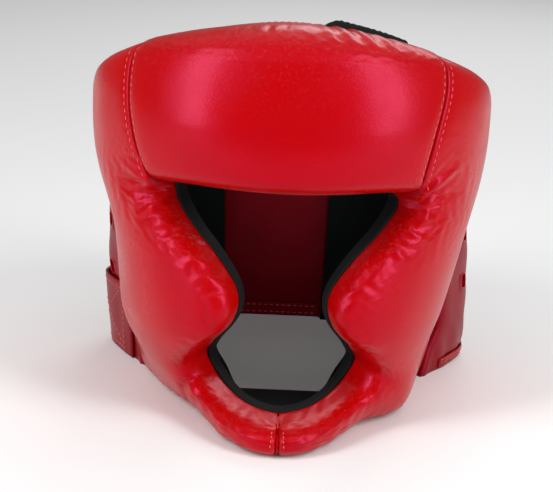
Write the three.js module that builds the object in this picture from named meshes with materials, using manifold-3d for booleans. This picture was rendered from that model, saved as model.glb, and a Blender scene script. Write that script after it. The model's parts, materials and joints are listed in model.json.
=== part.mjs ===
// Full-face boxing headgear, standing on its chin, jaw and neck rim as it does on a table.
// Millimetres, +Z up, the face opening towards -Y, the wearer's left side towards +X.
// Every padded part is three layers round one head form: a lining, a foam pad and a vinyl cover.
// The form is given in cylinder coordinates about an upright axis through the head cavity:
// an angle from the face (0) round to the nape (180), a height above the table and a radius.

import * as THREE from 'three';
import { mergeVertices } from 'three/addons/utils/BufferGeometryUtils.js';
import Module from 'manifold-3d';

const wasm = await Module();
wasm.setup();

// ---------------------------------------------------------------- driving dimensions

const AXIS_X = -1.0;
const AXIS_Y = 9.6;
const GAP = 0.3;
const LINING = 2.2;
const COVER = 1.5;

// Radius of the head cavity and of the pads' outside, one row per height, one column per angle.
const FORM_ANGLES = [0, 30, 60, 90, 115, 145, 180];
const FORM_HEIGHTS = [0, 30, 60, 95, 140, 180, 215, 240];
const CAVITY_RADII = [
  [102, 58, 55, 75, 100, 104, 98],
  [103, 74, 67, 80, 104, 108, 102],
  [101, 88, 80, 84, 106, 110, 106],
  [98, 92, 86, 87, 107, 112, 109],
  [96, 93, 89, 89, 105, 111, 109],
  [90, 90, 89, 88, 101, 108, 106],
  [78, 80, 84, 84, 94, 104, 100],
  [66, 70, 78, 80, 90, 94, 92],
];
const OUTSIDE_RADII = [
  [141, 92, 81, 88, 118, 121, 106],
  [140, 112, 94, 94, 122, 123, 111],
  [139, 124, 106, 97, 126, 125, 116],
  [137, 126, 114, 104, 127, 126, 119],
  [132, 127, 121, 115, 120, 125, 120],
  [127, 126, 122, 117, 116, 120, 116],
  [117, 118, 119, 113, 104, 112, 109],
  [106, 109, 111, 104, 98, 104, 101],
];

// Radius of the ear panels' and the nape's outside, the same way.
const PANEL_ANGLES = [90, 101, 113, 145, 180];
const PANEL_HEIGHTS = [0, 60, 120, 190];
const PANEL_RADII = [
  [88, 99, 117, 117, 107],
  [90, 103, 123, 121, 115],
  [96, 107, 122, 124, 118],
  [102, 109, 114, 119, 115],
];

// The fuller side: the wearer's left jaw and ear panel stand further out near the rim.
const JAW_FULLNESS = { amount: 13, angle: 46, spread: 17, height: 0, fade: 32 };
const PANEL_FLARE = { amount: 9, angle: 108, spread: 16, height: 10, fade: 60 };

// A cheek pad runs down from the temple along the face opening to the middle of the chin.
// Its two long edges as [angle, height] at evenly numbered stations.
const FACE_EDGE = [
  [54.5, 217], [52.5, 198], [49, 178], [44, 160], [38.5, 146], [37, 132], [30, 117], [21.5, 104],
  [13.8, 86], [14.8, 72], [21.5, 58], [22.5, 45], [18, 31], [10, 23.5], [0.12, 20.5],
];
const REAR_EDGE = [
  [98, 180], [101, 170], [103, 160], [104, 148], [104, 134], [103, 118], [101, 100],
  [99, 80], [97, 56], [95, 28], [88, 0], [66, 0], [42, 0], [20, 0], [0.12, 0],
];
const SEAM_STATIONS = 4;
const STATIONS_BETWEEN = 2;
const CHEEK_COLUMNS = 7;

const FOREHEAD_TOP = 231;
const FOREHEAD_TOP_FALL = 14;
const FOREHEAD_COLUMNS = 13;
const FOREHEAD_SEAM_SHARE = 0.994;

const PANEL = { lining: 1.5, foam: 3.0, cover: 1.5 };
const PANEL_THICKNESS = PANEL.lining + PANEL.foam + PANEL.cover + 2 * GAP;
const PANEL_FRONT_STEP = 2.2;
const PANEL_TOP = [[86, 168], [104, 168], [115, 164], [145, 156], [180, 150]];
const RIGHT_PANEL_END = 150;
const LEFT_PANEL_END = 165.5;

const EAR_HOLE_RADIUS = 5;
const EAR_HOLES = [[109, 83], [108.5, 52], [125, 88], [124, 58]];

const NAPE = { start: 142, end: 208, standOff: 0.9, thickness: 3.0, hem: 8 };
const STRAP = { start: 104, end: 238, low: 1, high: 46, rootStandOff: 1.4, standOff: 4.4, thickness: 2.2 };
const PATCH = { thickness: 1.4, start: 215, end: 236, margin: 4 };

const TAPE = { depth: 6.5, thickness: 1.6, standOff: 0.4 };
const GUSSET = { rear: -44, bottom: 4, thickness: 2, liningRear: -50, liningThickness: 1.2, clearance: 2.2 };
const GUSSET_SIDE = 1.5;

const CROWN = { rootRadius: 84.5, front: -22, back: 40, rootHeight: 190, slope: 0.12 };
const CROWN_FLAP = { lining: 1.5, cover: 1.6 };
const UNDER_FLAP = { rise: 19, reach: -22 };
const OVER_FLAP = { rise: 27, reach: 28 };
const CROWN_PATCH = { halfWidth: 19, thickness: 1.2, margin: 9 };
const TONGUE = { halfWidth: 30, rootRadius: 75, back: 4, low: 202, rise: 14, droop: 2.5 };

// ---------------------------------------------------------------- smooth curves and the head form

// Catmull-Rom value at position u between evenly numbered values.
function smooth(values, u) {
  const last = values.length - 1;
  const i = Math.min(Math.max(Math.floor(u), 0), last - 1);
  const f = Math.min(Math.max(u, 0), last) - i;
  const p1 = values[i];
  const p2 = values[i + 1];
  const p0 = i > 0 ? values[i - 1] : 2 * p1 - p2;
  const p3 = i + 2 <= last ? values[i + 2] : 2 * p2 - p1;
  const bend = 2 * p0 - 5 * p1 + 4 * p2 - p3 + f * (3 * (p1 - p2) + p3 - p0);
  return p1 + 0.5 * f * (p2 - p0 + f * bend);
}

// Straight-line value between [position, value] pairs.
function between(pairs, x) {
  const last = pairs.length - 1;
  const i = Math.min(Math.max(pairs.findIndex((pair) => pair[0] > x) - 1, 0), last);
  if (x <= pairs[0][0]) return pairs[0][1];
  if (x >= pairs[last][0]) return pairs[last][1];
  const [x0, y0] = pairs[i];
  const [x1, y1] = pairs[i + 1];
  return y0 + ((x - x0) / (x1 - x0)) * (y1 - y0);
}

function position(knots, x) {
  return between(knots.map((knot, index) => [knot, index]), x);
}

// Radius from a table of heights by angles. The form is level at the face and at the nape.
function tableRadius(table, heights, angles, angle, height) {
  const row = position(heights, height);
  const radii = angles.map((_, column) => smooth(table.map((line) => line[column]), row));
  const mirrored = [radii[1], ...radii, radii[radii.length - 2]];
  return smooth(mirrored, position(angles, angle) + 1);
}

function bump({ amount, angle, spread, height, fade }, atAngle, atHeight) {
  const round = Math.exp(-(((atAngle - angle) / spread) ** 2));
  return amount * round * Math.exp(-(((atHeight - height) / fade) ** 2));
}

function cavityRadius(angle, height) {
  return tableRadius(CAVITY_RADII, FORM_HEIGHTS, FORM_ANGLES, angle, height);
}

function outsideRadius(angle, height, side) {
  const fullness = side > 0 ? bump(JAW_FULLNESS, angle, height) : 0;
  return tableRadius(OUTSIDE_RADII, FORM_HEIGHTS, FORM_ANGLES, angle, height) + fullness;
}

// Outside of the ear panels. Past 180 the angle comes round to the wearer's left side.
function panelRadius(angle, height, side) {
  const wrapped = angle > 180 ? 360 - angle : angle;
  const flare = side > 0 !== angle > 180 ? bump(PANEL_FLARE, wrapped, height) : 0;
  return tableRadius(PANEL_RADII, PANEL_HEIGHTS, PANEL_ANGLES, wrapped, height) + flare;
}

// Point at an angle, height and radius; side is +1 on the wearer's left and -1 on the right.
function place(angle, height, radius, side) {
  const a = THREE.MathUtils.degToRad(angle);
  return [AXIS_X + side * radius * Math.sin(a), AXIS_Y - radius * Math.cos(a), height];
}

// ---------------------------------------------------------------- bodies

function signedVolume(geometry) {
  const vertices = geometry.getAttribute('position');
  const index = geometry.getIndex();
  const corners = [new THREE.Vector3(), new THREE.Vector3(), new THREE.Vector3()];
  let volume = 0;
  for (let i = 0; i < index.count; i += 3) {
    corners.forEach((corner, k) => corner.fromBufferAttribute(vertices, index.getX(i + k)));
    volume += corners[0].dot(corners[1].cross(corners[2])) / 6;
  }
  return volume;
}

function closedGeometry(points, faces) {
  const geometry = new THREE.BufferGeometry();
  geometry.setAttribute('position', new THREE.Float32BufferAttribute(points.flat(), 3));
  geometry.setIndex(faces.flat());
  if (signedVolume(geometry) < 0) {
    geometry.setIndex(faces.map(([a, b, c]) => [a, c, b]).flat());
  }
  geometry.computeVertexNormals();
  return geometry;
}

// Closed body between two surfaces given on one grid of rows by columns, with a wall round it.
function layer(rows, columns, outerAt, innerAt) {
  const points = [];
  for (const at of [outerAt, innerAt]) {
    for (let i = 0; i < rows; i += 1) {
      for (let j = 0; j < columns; j += 1) {
        points.push(at(i / (rows - 1), j / (columns - 1)));
      }
    }
  }
  const outer = (i, j) => i * columns + j;
  const inner = (i, j) => rows * columns + i * columns + j;
  const faces = [];
  const quad = (a, b, c, d) => faces.push([a, b, c], [a, c, d]);
  for (let i = 0; i < rows - 1; i += 1) {
    for (let j = 0; j < columns - 1; j += 1) {
      quad(outer(i, j), outer(i + 1, j), outer(i + 1, j + 1), outer(i, j + 1));
      faces.push([inner(i, j), inner(i + 1, j + 1), inner(i + 1, j)]);
      faces.push([inner(i, j), inner(i, j + 1), inner(i + 1, j + 1)]);
    }
  }
  const rim = [];
  for (let i = 0; i < rows - 1; i += 1) rim.push([i, 0]);
  for (let j = 0; j < columns - 1; j += 1) rim.push([rows - 1, j]);
  for (let i = rows - 1; i > 0; i -= 1) rim.push([i, columns - 1]);
  for (let j = columns - 1; j > 0; j -= 1) rim.push([0, j]);
  rim.forEach((here, k) => {
    const next = rim[(k + 1) % rim.length];
    quad(outer(...here), inner(...here), inner(...next), outer(...next));
  });
  return closedGeometry(points, faces);
}

// Closed ring of four-cornered sections, one after another round a loop.
function ring(sections) {
  const corners = 4;
  const faces = [];
  sections.forEach((_, i) => {
    const next = (i + 1) % sections.length;
    for (let c = 0; c < corners; c += 1) {
      const d = (c + 1) % corners;
      faces.push([i * corners + c, next * corners + c, next * corners + d]);
      faces.push([i * corners + c, next * corners + d, i * corners + d]);
    }
  });
  return closedGeometry(sections.flat(), faces);
}

function toSolid(geometry) {
  const bare = geometry.clone();
  bare.deleteAttribute('normal');
  bare.deleteAttribute('uv');
  const merged = mergeVertices(bare);
  return new wasm.Manifold(new wasm.Mesh({
    numProp: 3,
    vertProperties: new Float32Array(merged.getAttribute('position').array),
    triVerts: new Uint32Array(merged.getIndex().array),
  }));
}

function fromSolid(solid) {
  const mesh = solid.getMesh();
  const geometry = new THREE.BufferGeometry();
  geometry.setAttribute('position', new THREE.BufferAttribute(mesh.vertProperties, 3));
  geometry.setIndex(new THREE.BufferAttribute(mesh.triVerts, 1));
  geometry.computeVertexNormals();
  return geometry;
}

// ---------------------------------------------------------------- materials

const materials = {
  vinyl: new THREE.MeshStandardMaterial({ color: 0xbf0a08, roughness: 0.35, metalness: 0 }),
  panelVinyl: new THREE.MeshStandardMaterial({ color: 0x9c0606, roughness: 0.45, metalness: 0 }),
  lining: new THREE.MeshStandardMaterial({ color: 0x0d1212, roughness: 0.9, metalness: 0 }),
  foam: new THREE.MeshStandardMaterial({ color: 0xd8cfb8, roughness: 0.95, metalness: 0 }),
  tape: new THREE.MeshStandardMaterial({ color: 0x0b0c0d, roughness: 0.8, metalness: 0 }),
  hookAndLoop: new THREE.MeshStandardMaterial({ color: 0x151515, roughness: 1, metalness: 0 }),
};

const headgear = new THREE.Group();

function addPiece(name, geometry, material) {
  const mesh = new THREE.Mesh(geometry, material);
  mesh.name = name;
  headgear.add(mesh);
}

// ---------------------------------------------------------------- cheek pads and forehead pad

// Depths of the three layers from the cavity outwards in a pad of a given thickness.
const LAYERS = {
  cover: { inner: (pad) => pad - COVER, outer: (pad) => pad, material: materials.vinyl },
  foam: {
    inner: () => LINING + GAP,
    outer: (pad) => pad - COVER - GAP,
    material: materials.foam,
  },
  lining: { inner: () => 0, outer: () => LINING, material: materials.lining },
};

// Thickness share across a pad: full in the middle and rounded to a share at each edge.
function crown(across, edgeStart, edgeEnd, power = 2.6) {
  const x = 2 * across - 1;
  const rounded = Math.max(0, 1 - Math.abs(x) ** power) ** (1 / power);
  const edge = x < 0 ? edgeStart : edgeEnd;
  return edge + (1 - edge) * rounded;
}

// Closer grid lines near both edges of a pad, where it curves most.
function easedShare(share) {
  return (1 - Math.cos(Math.PI * share)) / 2;
}

function edgeAt(edge, station) {
  return [0, 1].map((k) => Math.max(0, smooth(edge.map((point) => point[k]), station)));
}

function cheekPlace(along, across, side, depth) {
  const station = along * (FACE_EDGE.length - 1);
  const share = easedShare(across);
  const face = edgeAt(FACE_EDGE, station);
  const rear = edgeAt(REAR_EDGE, station);
  const angle = face[0] + (rear[0] - face[0]) * share;
  const height = face[1] + (rear[1] - face[1]) * share;
  const faceShare = between([[3, 0.72], [5, 0.5]], station);
  const rearShare = between([[0, 0.5], [8.5, 0.75], [10, 0.85]], station);
  const roundedTop = Math.sqrt(1 - (1 - Math.min(station / 1.3, 1)) ** 2);
  const fullness = crown(share, faceShare, rearShare) * (0.75 + 0.25 * roundedTop);
  const inside = cavityRadius(angle, height);
  const pad = fullness * (outsideRadius(angle, height, side) - inside);
  return place(angle, height, inside + depth(pad), side);
}

function foreheadPlace(down, across, depth) {
  const share = easedShare(down);
  const u = 2 * across - 1;
  const station = share * SEAM_STATIONS;
  const seam = edgeAt(FACE_EDGE, station);
  const angle = seam[0] * Math.abs(u) * FOREHEAD_SEAM_SHARE;
  const top = FOREHEAD_TOP - FOREHEAD_TOP_FALL * u * u;
  const brow = FACE_EDGE[SEAM_STATIONS][1];
  const seamLevel = (FOREHEAD_TOP - FOREHEAD_TOP_FALL) * (1 - share) + brow * share;
  const height = top * (1 - share) + brow * share + (seam[1] - seamLevel) * u ** 4;
  const inside = cavityRadius(angle, height);
  const fullness = crown(share, 0.55, 0.62) * crown(across, 0.82, 0.82, 7);
  const pad = fullness * (outsideRadius(angle, height, 0) - inside);
  return place(angle, height, inside + depth(pad), Math.sign(u) || 1);
}

const cheekRows = (FACE_EDGE.length - 1) * STATIONS_BETWEEN + 1;
const seamRows = SEAM_STATIONS * STATIONS_BETWEEN + 1;

for (const [side, wearer] of [[1, 'left'], [-1, 'right']]) {
  for (const [name, { inner, outer, material }] of Object.entries(LAYERS)) {
    const geometry = layer(
      cheekRows,
      CHEEK_COLUMNS,
      (along, across) => cheekPlace(along, across, side, outer),
      (along, across) => cheekPlace(along, across, side, inner),
    );
    addPiece(`cheek_${name}_${wearer}`, geometry, material);
  }
}

for (const [name, { inner, outer, material }] of Object.entries(LAYERS)) {
  const geometry = layer(
    seamRows,
    FOREHEAD_COLUMNS,
    (down, across) => foreheadPlace(down, across, outer),
    (down, across) => foreheadPlace(down, across, inner),
  );
  addPiece(`forehead_${name}`, geometry, material);
}

// ---------------------------------------------------------------- binding tape round the face opening

function faceLoop() {
  const sidePoints = [];
  for (let k = SEAM_STATIONS * STATIONS_BETWEEN; k < cheekRows; k += 1) {
    sidePoints.push(edgeAt(FACE_EDGE, k / STATIONS_BETWEEN));
  }
  const [cornerAngle, browHeight] = sidePoints[0];
  const browSteps = 9;
  const brow = Array.from({ length: browSteps - 1 }, (_, k) => {
    return [cornerAngle * (2 * ((k + 1) / browSteps) - 1), browHeight];
  });
  const otherSide = sidePoints.slice(0, -1).reverse().map(([angle, height]) => [-angle, height]);
  return [...sidePoints, ...otherSide, ...brow];
}

function bindingSections() {
  const loop = faceLoop();
  return loop.map(([angle, height], k) => {
    const before = loop[(k + loop.length - 1) % loop.length];
    const after = loop[(k + 1) % loop.length];
    const inside = cavityRadius(Math.abs(angle), height);
    const arc = THREE.MathUtils.degToRad(1) * inside;
    const along = new THREE.Vector2((after[0] - before[0]) * arc, after[1] - before[1]).normalize();
    const corner = (stand, radius) => {
      const shifted = angle + (along.y * stand) / arc;
      return place(shifted, height - along.x * stand, radius, 1);
    };
    const near = TAPE.standOff;
    const far = TAPE.standOff + TAPE.thickness;
    return [
      corner(near, inside),
      corner(near, inside + TAPE.depth),
      corner(far, inside + TAPE.depth),
      corner(far, inside),
    ];
  });
}

addPiece('face_binding', ring(bindingSections()), materials.tape);

// ---------------------------------------------------------------- chin gusset

// A flat panel across the V of the jaw, from the chin back to a straight hem.
function gussetPlate(rear, bottom, thickness, clearance) {
  const rows = 2;
  const columns = 13;
  const wallAt = (angle, side) => place(angle, bottom, cavityRadius(angle, bottom) - clearance, side);
  let widest = 1;
  while (wallAt(widest, 1)[1] < rear - GUSSET_SIDE) widest += 0.25;
  const at = (level) => (back, across) => {
    const share = 2 * across - 1;
    const [x, y] = wallAt(widest * Math.abs(share), Math.sign(share) || 1);
    return [x, y + (rear - y) * back, level];
  };
  return layer(rows, columns, at(bottom + thickness), at(bottom));
}

addPiece(
  'chin_gusset',
  gussetPlate(GUSSET.rear, GUSSET.bottom, GUSSET.thickness, GUSSET.clearance),
  materials.panelVinyl,
);
addPiece(
  'chin_gusset_lining',
  gussetPlate(GUSSET.liningRear, GUSSET.bottom + GUSSET.thickness + GAP, GUSSET.liningThickness, GUSSET.clearance),
  materials.lining,
);

// ---------------------------------------------------------------- ear panels

// The panels start just behind the cheek pads' rear edge.
function panelStart(height) {
  const rear = REAR_EDGE.slice(0, 11).map(([angle, level]) => [level, angle]).reverse();
  return between(rear, height) + PANEL_FRONT_STEP;
}

function panelPlace(up, round, side, end, offset) {
  const start = panelStart(up * PANEL_TOP[0][1]);
  const angle = start + (end - start) * round;
  const height = up * between(PANEL_TOP, angle);
  return place(angle, height, panelRadius(angle, height, side) + offset, side);
}

function earHoleTool(angle, height, side) {
  const drill = new THREE.CylinderGeometry(EAR_HOLE_RADIUS, EAR_HOLE_RADIUS, 40, 14);
  drill.rotateX(Math.PI / 2);
  const centre = new THREE.Vector3(...place(angle, height, panelRadius(angle, height, side), side));
  const axisPoint = new THREE.Vector3(AXIS_X, AXIS_Y, height);
  const aim = new THREE.Matrix4().lookAt(centre, axisPoint, new THREE.Vector3(0, 0, 1));
  drill.applyMatrix4(aim.setPosition(centre));
  return toSolid(drill);
}

function panelLayer(side, end, from, to) {
  const rows = 7;
  const columns = 10;
  let solid = toSolid(layer(
    rows,
    columns,
    (up, round) => panelPlace(up, round, side, end, to),
    (up, round) => panelPlace(up, round, side, end, from),
  ));
  for (const [angle, height] of EAR_HOLES) {
    solid = solid.subtract(earHoleTool(angle, height, side));
  }
  return fromSolid(solid);
}

// A band that follows the panels, between two angles, two heights and two stand-offs.
function band(side, [start, end], [low, high], [from, to], rows, columns) {
  const at = (offset) => (up, round) => {
    const angle = start + (end - start) * round;
    const height = low + (high - low) * up;
    const standOff = typeof offset === 'function' ? offset(angle) : offset;
    return place(angle, height, panelRadius(angle, height, side) + standOff, side);
  };
  return layer(rows, columns, at(to), at(from));
}

const panelDepths = {
  cover: [-PANEL.cover, 0],
  foam: [-PANEL.cover - GAP - PANEL.foam, -PANEL.cover - GAP],
  lining: [-PANEL_THICKNESS, -PANEL_THICKNESS + PANEL.lining],
};
const panelMaterials = { cover: materials.panelVinyl, foam: materials.foam, lining: materials.lining };

for (const [side, wearer, end] of [[1, 'left', LEFT_PANEL_END], [-1, 'right', RIGHT_PANEL_END]]) {
  for (const [name, [from, to]] of Object.entries(panelDepths)) {
    addPiece(`ear_${name}_${wearer}`, panelLayer(side, end, from, to), panelMaterials[name]);
  }
}

const HEM_DEPTH = [1.2, 2.4];
addPiece('ear_hem_left', band(1, [97, 120], [0, 7], HEM_DEPTH, 2, 9), materials.panelVinyl);
addPiece('ear_hem_right', band(-1, [97, 103.4], [0, 7], HEM_DEPTH, 2, 5), materials.panelVinyl);

// ---------------------------------------------------------------- nape panel and closure strap

function napePanel() {
  const rows = 5;
  const columns = 13;
  const at = (offset) => (up, round) => {
    const angle = NAPE.start + (NAPE.end - NAPE.start) * round;
    const wrapped = angle > 180 ? 360 - angle : angle;
    const height = up * (between(PANEL_TOP, wrapped) - 4);
    return place(angle, height, panelRadius(angle, height, -1) + offset, -1);
  };
  return layer(rows, columns, at(NAPE.standOff + NAPE.thickness), at(NAPE.standOff));
}

addPiece('nape_panel', napePanel(), materials.panelVinyl);
addPiece(
  'nape_hem',
  band(-1, [151, 193], [0, NAPE.hem], [NAPE.standOff - GAP - 1.2, NAPE.standOff - GAP], 2, 9),
  materials.panelVinyl,
);

// The strap lies on the right ear panel at its root and steps over the nape panel's edge.
function strapOffset(angle) {
  return between([[128, STRAP.rootStandOff], [140, STRAP.standOff]], angle);
}

addPiece(
  'rear_strap',
  band(
    -1,
    [STRAP.start, STRAP.end],
    [STRAP.low, STRAP.high],
    [strapOffset, (angle) => strapOffset(angle) + STRAP.thickness],
    3,
    24,
  ),
  materials.panelVinyl,
);

const patchHeights = [STRAP.low + PATCH.margin, STRAP.high - PATCH.margin];
const loopDepth = [GAP, GAP + PATCH.thickness];
const hookDepth = [STRAP.standOff - GAP - PATCH.thickness, STRAP.standOff - GAP];
const patchAngles = [PATCH.start, PATCH.end];
addPiece('rear_loop_patch', band(-1, patchAngles, patchHeights, loopDepth, 2, 7), materials.hookAndLoop);
addPiece('rear_hook_patch', band(-1, patchAngles, patchHeights, hookDepth, 2, 7), materials.hookAndLoop);

// ---------------------------------------------------------------- crown

function crownHeight(x, y, rise) {
  const droop = (Math.abs(x - AXIS_X) / CROWN.rootRadius) ** 2;
  return CROWN.rootHeight + rise * (1 - droop) - CROWN.slope * (y - 5);
}

// A flap from the pad's top edge on one side, over the crown and past the middle.
function crownSheet(side, { rise, reach }, from, to, inset = 0) {
  const at = (offset) => (along, back) => {
    const y = CROWN.front + inset + (CROWN.back - CROWN.front - 2 * inset) * back;
    const root = AXIS_X + side * Math.sqrt(CROWN.rootRadius ** 2 - (y - AXIS_Y) ** 2);
    const x = root + (reach - root) * along;
    return [x, y, crownHeight(x, y, rise) + offset];
  };
  return layer(9, 4, at(to), at(from));
}

function crownPatch(rise, from, to) {
  const at = (offset) => (along, back) => {
    const x = -CROWN_PATCH.halfWidth + 2 * CROWN_PATCH.halfWidth * along;
    const low = CROWN.front + CROWN_PATCH.margin;
    const high = CROWN.back - CROWN_PATCH.margin;
    const y = low + (high - low) * back;
    return [x, y, crownHeight(x, y, rise) + offset];
  };
  return layer(5, 4, at(to), at(from));
}

const coverLow = CROWN_FLAP.lining + GAP;
const coverHigh = coverLow + CROWN_FLAP.cover;
addPiece('crown_flap_left', crownSheet(1, UNDER_FLAP, coverLow, coverHigh), materials.vinyl);
addPiece('crown_lining_left', crownSheet(1, UNDER_FLAP, 0, CROWN_FLAP.lining), materials.lining);
addPiece('crown_flap_right', crownSheet(-1, OVER_FLAP, coverLow, coverHigh), materials.vinyl);
addPiece('crown_lining_right', crownSheet(-1, OVER_FLAP, 0, CROWN_FLAP.lining), materials.lining);
addPiece(
  'crown_loop_patch',
  crownPatch(UNDER_FLAP.rise, coverHigh + GAP, coverHigh + GAP + CROWN_PATCH.thickness),
  materials.hookAndLoop,
);
addPiece(
  'crown_hook_patch',
  crownPatch(OVER_FLAP.rise, -GAP - CROWN_PATCH.thickness, -GAP),
  materials.hookAndLoop,
);

// A tongue from inside the forehead's top edge back under the flaps.
function tongueSheet(from, to) {
  const at = (offset) => (back, across) => {
    const x = (2 * across - 1) * TONGUE.halfWidth;
    const front = AXIS_Y - Math.sqrt(TONGUE.rootRadius ** 2 - x ** 2);
    const y = front + (TONGUE.back - front) * back;
    const climb = TONGUE.rise * (1 - back) ** 2;
    const droop = TONGUE.droop * (x / TONGUE.halfWidth) ** 2;
    return [AXIS_X + x, y, TONGUE.low + climb - droop + offset];
  };
  return layer(7, 6, at(to), at(from));
}

addPiece('crown_tongue', tongueSheet(coverLow, coverHigh), materials.vinyl);
addPiece('crown_tongue_lining', tongueSheet(0, CROWN_FLAP.lining), materials.lining);

export default headgear;
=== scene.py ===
# %% [markdown]
# # A full-face boxing headgear
# The real thing is foam pads in glossy vinyl covers, sewn edge to edge round the face and lined with
# black cloth, with thin ear panels, a nape panel and straps behind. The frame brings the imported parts,
# their places and their joints, and every visible part gets a finer piece that stands for it. All
# shapes here are worked out in millimetres round one head form and put into meshes in metres.

# %% Tools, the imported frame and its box
import json

import bpy
import numpy as np
from mathutils import Matrix


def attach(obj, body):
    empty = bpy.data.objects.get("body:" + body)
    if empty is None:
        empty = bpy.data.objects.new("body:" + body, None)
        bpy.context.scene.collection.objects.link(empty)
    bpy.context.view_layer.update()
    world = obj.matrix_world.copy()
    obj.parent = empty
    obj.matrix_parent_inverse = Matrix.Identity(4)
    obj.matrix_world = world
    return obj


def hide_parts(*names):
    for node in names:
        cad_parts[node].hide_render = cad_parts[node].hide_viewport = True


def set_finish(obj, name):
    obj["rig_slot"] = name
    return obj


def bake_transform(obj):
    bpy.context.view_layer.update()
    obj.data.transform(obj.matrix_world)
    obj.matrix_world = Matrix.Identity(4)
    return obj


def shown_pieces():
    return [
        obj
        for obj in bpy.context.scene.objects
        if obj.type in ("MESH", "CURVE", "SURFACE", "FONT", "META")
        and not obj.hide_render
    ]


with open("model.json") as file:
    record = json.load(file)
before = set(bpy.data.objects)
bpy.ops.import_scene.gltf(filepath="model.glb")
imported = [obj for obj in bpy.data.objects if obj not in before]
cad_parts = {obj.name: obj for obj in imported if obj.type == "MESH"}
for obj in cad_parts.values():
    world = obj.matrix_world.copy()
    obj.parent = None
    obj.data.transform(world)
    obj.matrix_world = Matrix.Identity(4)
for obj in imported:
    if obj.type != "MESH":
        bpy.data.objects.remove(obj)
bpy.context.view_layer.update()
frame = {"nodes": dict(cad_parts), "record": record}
MM = 0.001
print("parts in the frame:", len(frame["nodes"]))

# %% [markdown]
# ## The head form
# Pads, linings and panels all lie on one form, as they would on a wooden block: an upright axis, an
# angle from the face (0) round to the nape (180), a height above the table and a radius. A table of
# radii with a smooth curve through it is how a block maker's templates work, so the same tables give
# the cavity, the outside of the pads and the outside of the ear panels.

# %% Radii of the form in millimetres, one row per height and one column per angle
AXIS = (-1.0, 9.6)
ANGLES = [0, 30, 60, 90, 115, 145, 180]
HEIGHTS = [0, 30, 60, 95, 140, 180, 215, 240]
CAVITY = [
    [102, 58, 55, 75, 100, 104, 98],
    [103, 74, 67, 80, 104, 108, 102],
    [101, 88, 80, 84, 106, 110, 106],
    [98, 92, 86, 87, 107, 112, 109],
    [96, 93, 89, 89, 105, 111, 109],
    [90, 90, 89, 88, 101, 108, 106],
    [78, 80, 84, 84, 94, 104, 100],
    [66, 70, 78, 80, 90, 94, 92],
]
OUTSIDE = [
    [141, 92, 81, 88, 118, 121, 106],
    [140, 112, 94, 94, 122, 123, 111],
    [139, 124, 106, 97, 126, 125, 116],
    [137, 126, 114, 104, 127, 126, 119],
    [132, 127, 121, 115, 120, 125, 120],
    [127, 126, 122, 117, 116, 120, 116],
    [117, 118, 119, 113, 104, 112, 109],
    [106, 109, 111, 104, 98, 104, 101],
]
PANEL_ANGLES = [90, 101, 113, 145, 180]
PANEL_HEIGHTS = [0, 60, 120, 190]
PANEL = [
    [88, 99, 117, 117, 107],
    [90, 103, 123, 121, 115],
    [96, 107, 122, 124, 118],
    [102, 109, 114, 119, 115],
]

# %% Smooth curves through evenly numbered values


def curve_weights(u, count):
    """Catmull-Rom weights: the cubic in the fraction f of u for the four values round it."""
    u = np.clip(u, 0, count - 1)
    i = np.minimum(np.floor(u).astype(int), count - 2)
    f = u - i
    weights = [
        f * (-1 + f * (2 - f)) / 2,
        1 + f * f * (3 * f - 5) / 2,
        f * (1 + f * (4 - 3 * f)) / 2,
        f * f * (f - 1) / 2,
    ]
    return i, weights


def curve(values, u):
    """Value at position u on the smooth curve, whose ends are carried on straight by one step."""
    values = np.asarray(values, float)
    longer = np.concatenate([2 * values[:1] - values[1:2], values, 2 * values[-1:] - values[-2:-1]])
    i, weights = curve_weights(np.asarray(u, float), len(values))
    parts = [w.reshape(w.shape + (1,) * (values.ndim - 1)) * longer[i + k] for k, w in enumerate(weights)]
    return sum(parts)


def radius(table, heights, angles, angle, height):
    """Smooth in height and then in angle; the table is mirrored at the face and at the nape."""
    table = np.asarray(table, float)
    table = np.concatenate([2 * table[:1] - table[1:2], table, 2 * table[-1:] - table[-2:-1]])
    table = np.concatenate([table[:, 1:2], table, table[:, -2:-1]], axis=1)
    angle, height = np.broadcast_arrays(angle, height)
    row, row_weights = curve_weights(np.interp(height, heights, np.arange(len(heights))), len(heights))
    column, column_weights = curve_weights(np.interp(angle, angles, np.arange(len(angles))), len(angles))
    return sum(
        a * b * table[row + i, column + j]
        for i, a in enumerate(row_weights)
        for j, b in enumerate(column_weights)
    )


def bump(amount, centre, spread, level, fade, angle, height):
    """A bell shape in angle times a bell shape in height."""
    return amount * np.exp(-(((angle - centre) / spread) ** 2) - ((height - level) / fade) ** 2)


def cavity(angle, height):
    """Radius of the space for the head."""
    return radius(CAVITY, HEIGHTS, ANGLES, np.abs(angle), height)


def outside(angle, height, side):
    """Radius over the pads; the wearer's left jaw is the fuller one."""
    angle = np.abs(angle)
    fuller = bump(13, 46, 17, 0, 32, angle, height) if side > 0 else 0
    if side < 0:
        fuller = bump(-6, 86, 26, 106, 24, angle, height) + bump(4, 64, 20, 46, 22, angle, height)
    return radius(OUTSIDE, HEIGHTS, ANGLES, angle, height) + fuller


def panel_radius(angle, height, side):
    """Radius over the ear panels; past 180 the angle comes round to the other side."""
    wrapped = np.where(angle > 180, 360 - angle, angle)
    left = (side > 0) != (np.asarray(angle) > 180)
    flare = np.where(left, bump(9, 108, 16, 10, 60, wrapped, height), 0)
    return radius(PANEL, PANEL_HEIGHTS, PANEL_ANGLES, wrapped, height) + flare


def place(angle, height, radial, side=1):
    """Point at an angle, height and radius: across by the sine, towards the face by the cosine."""
    a = np.radians(angle)
    xyz = np.broadcast_arrays(
        AXIS[0] + side * radial * np.sin(a), AXIS[1] - radial * np.cos(a), np.asarray(height, float)
    )
    return np.stack(xyz, axis=-1)


print("cavity at the temples:", np.round(cavity(np.array([90.0]), np.array([140.0])), 1), "mm")

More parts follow.
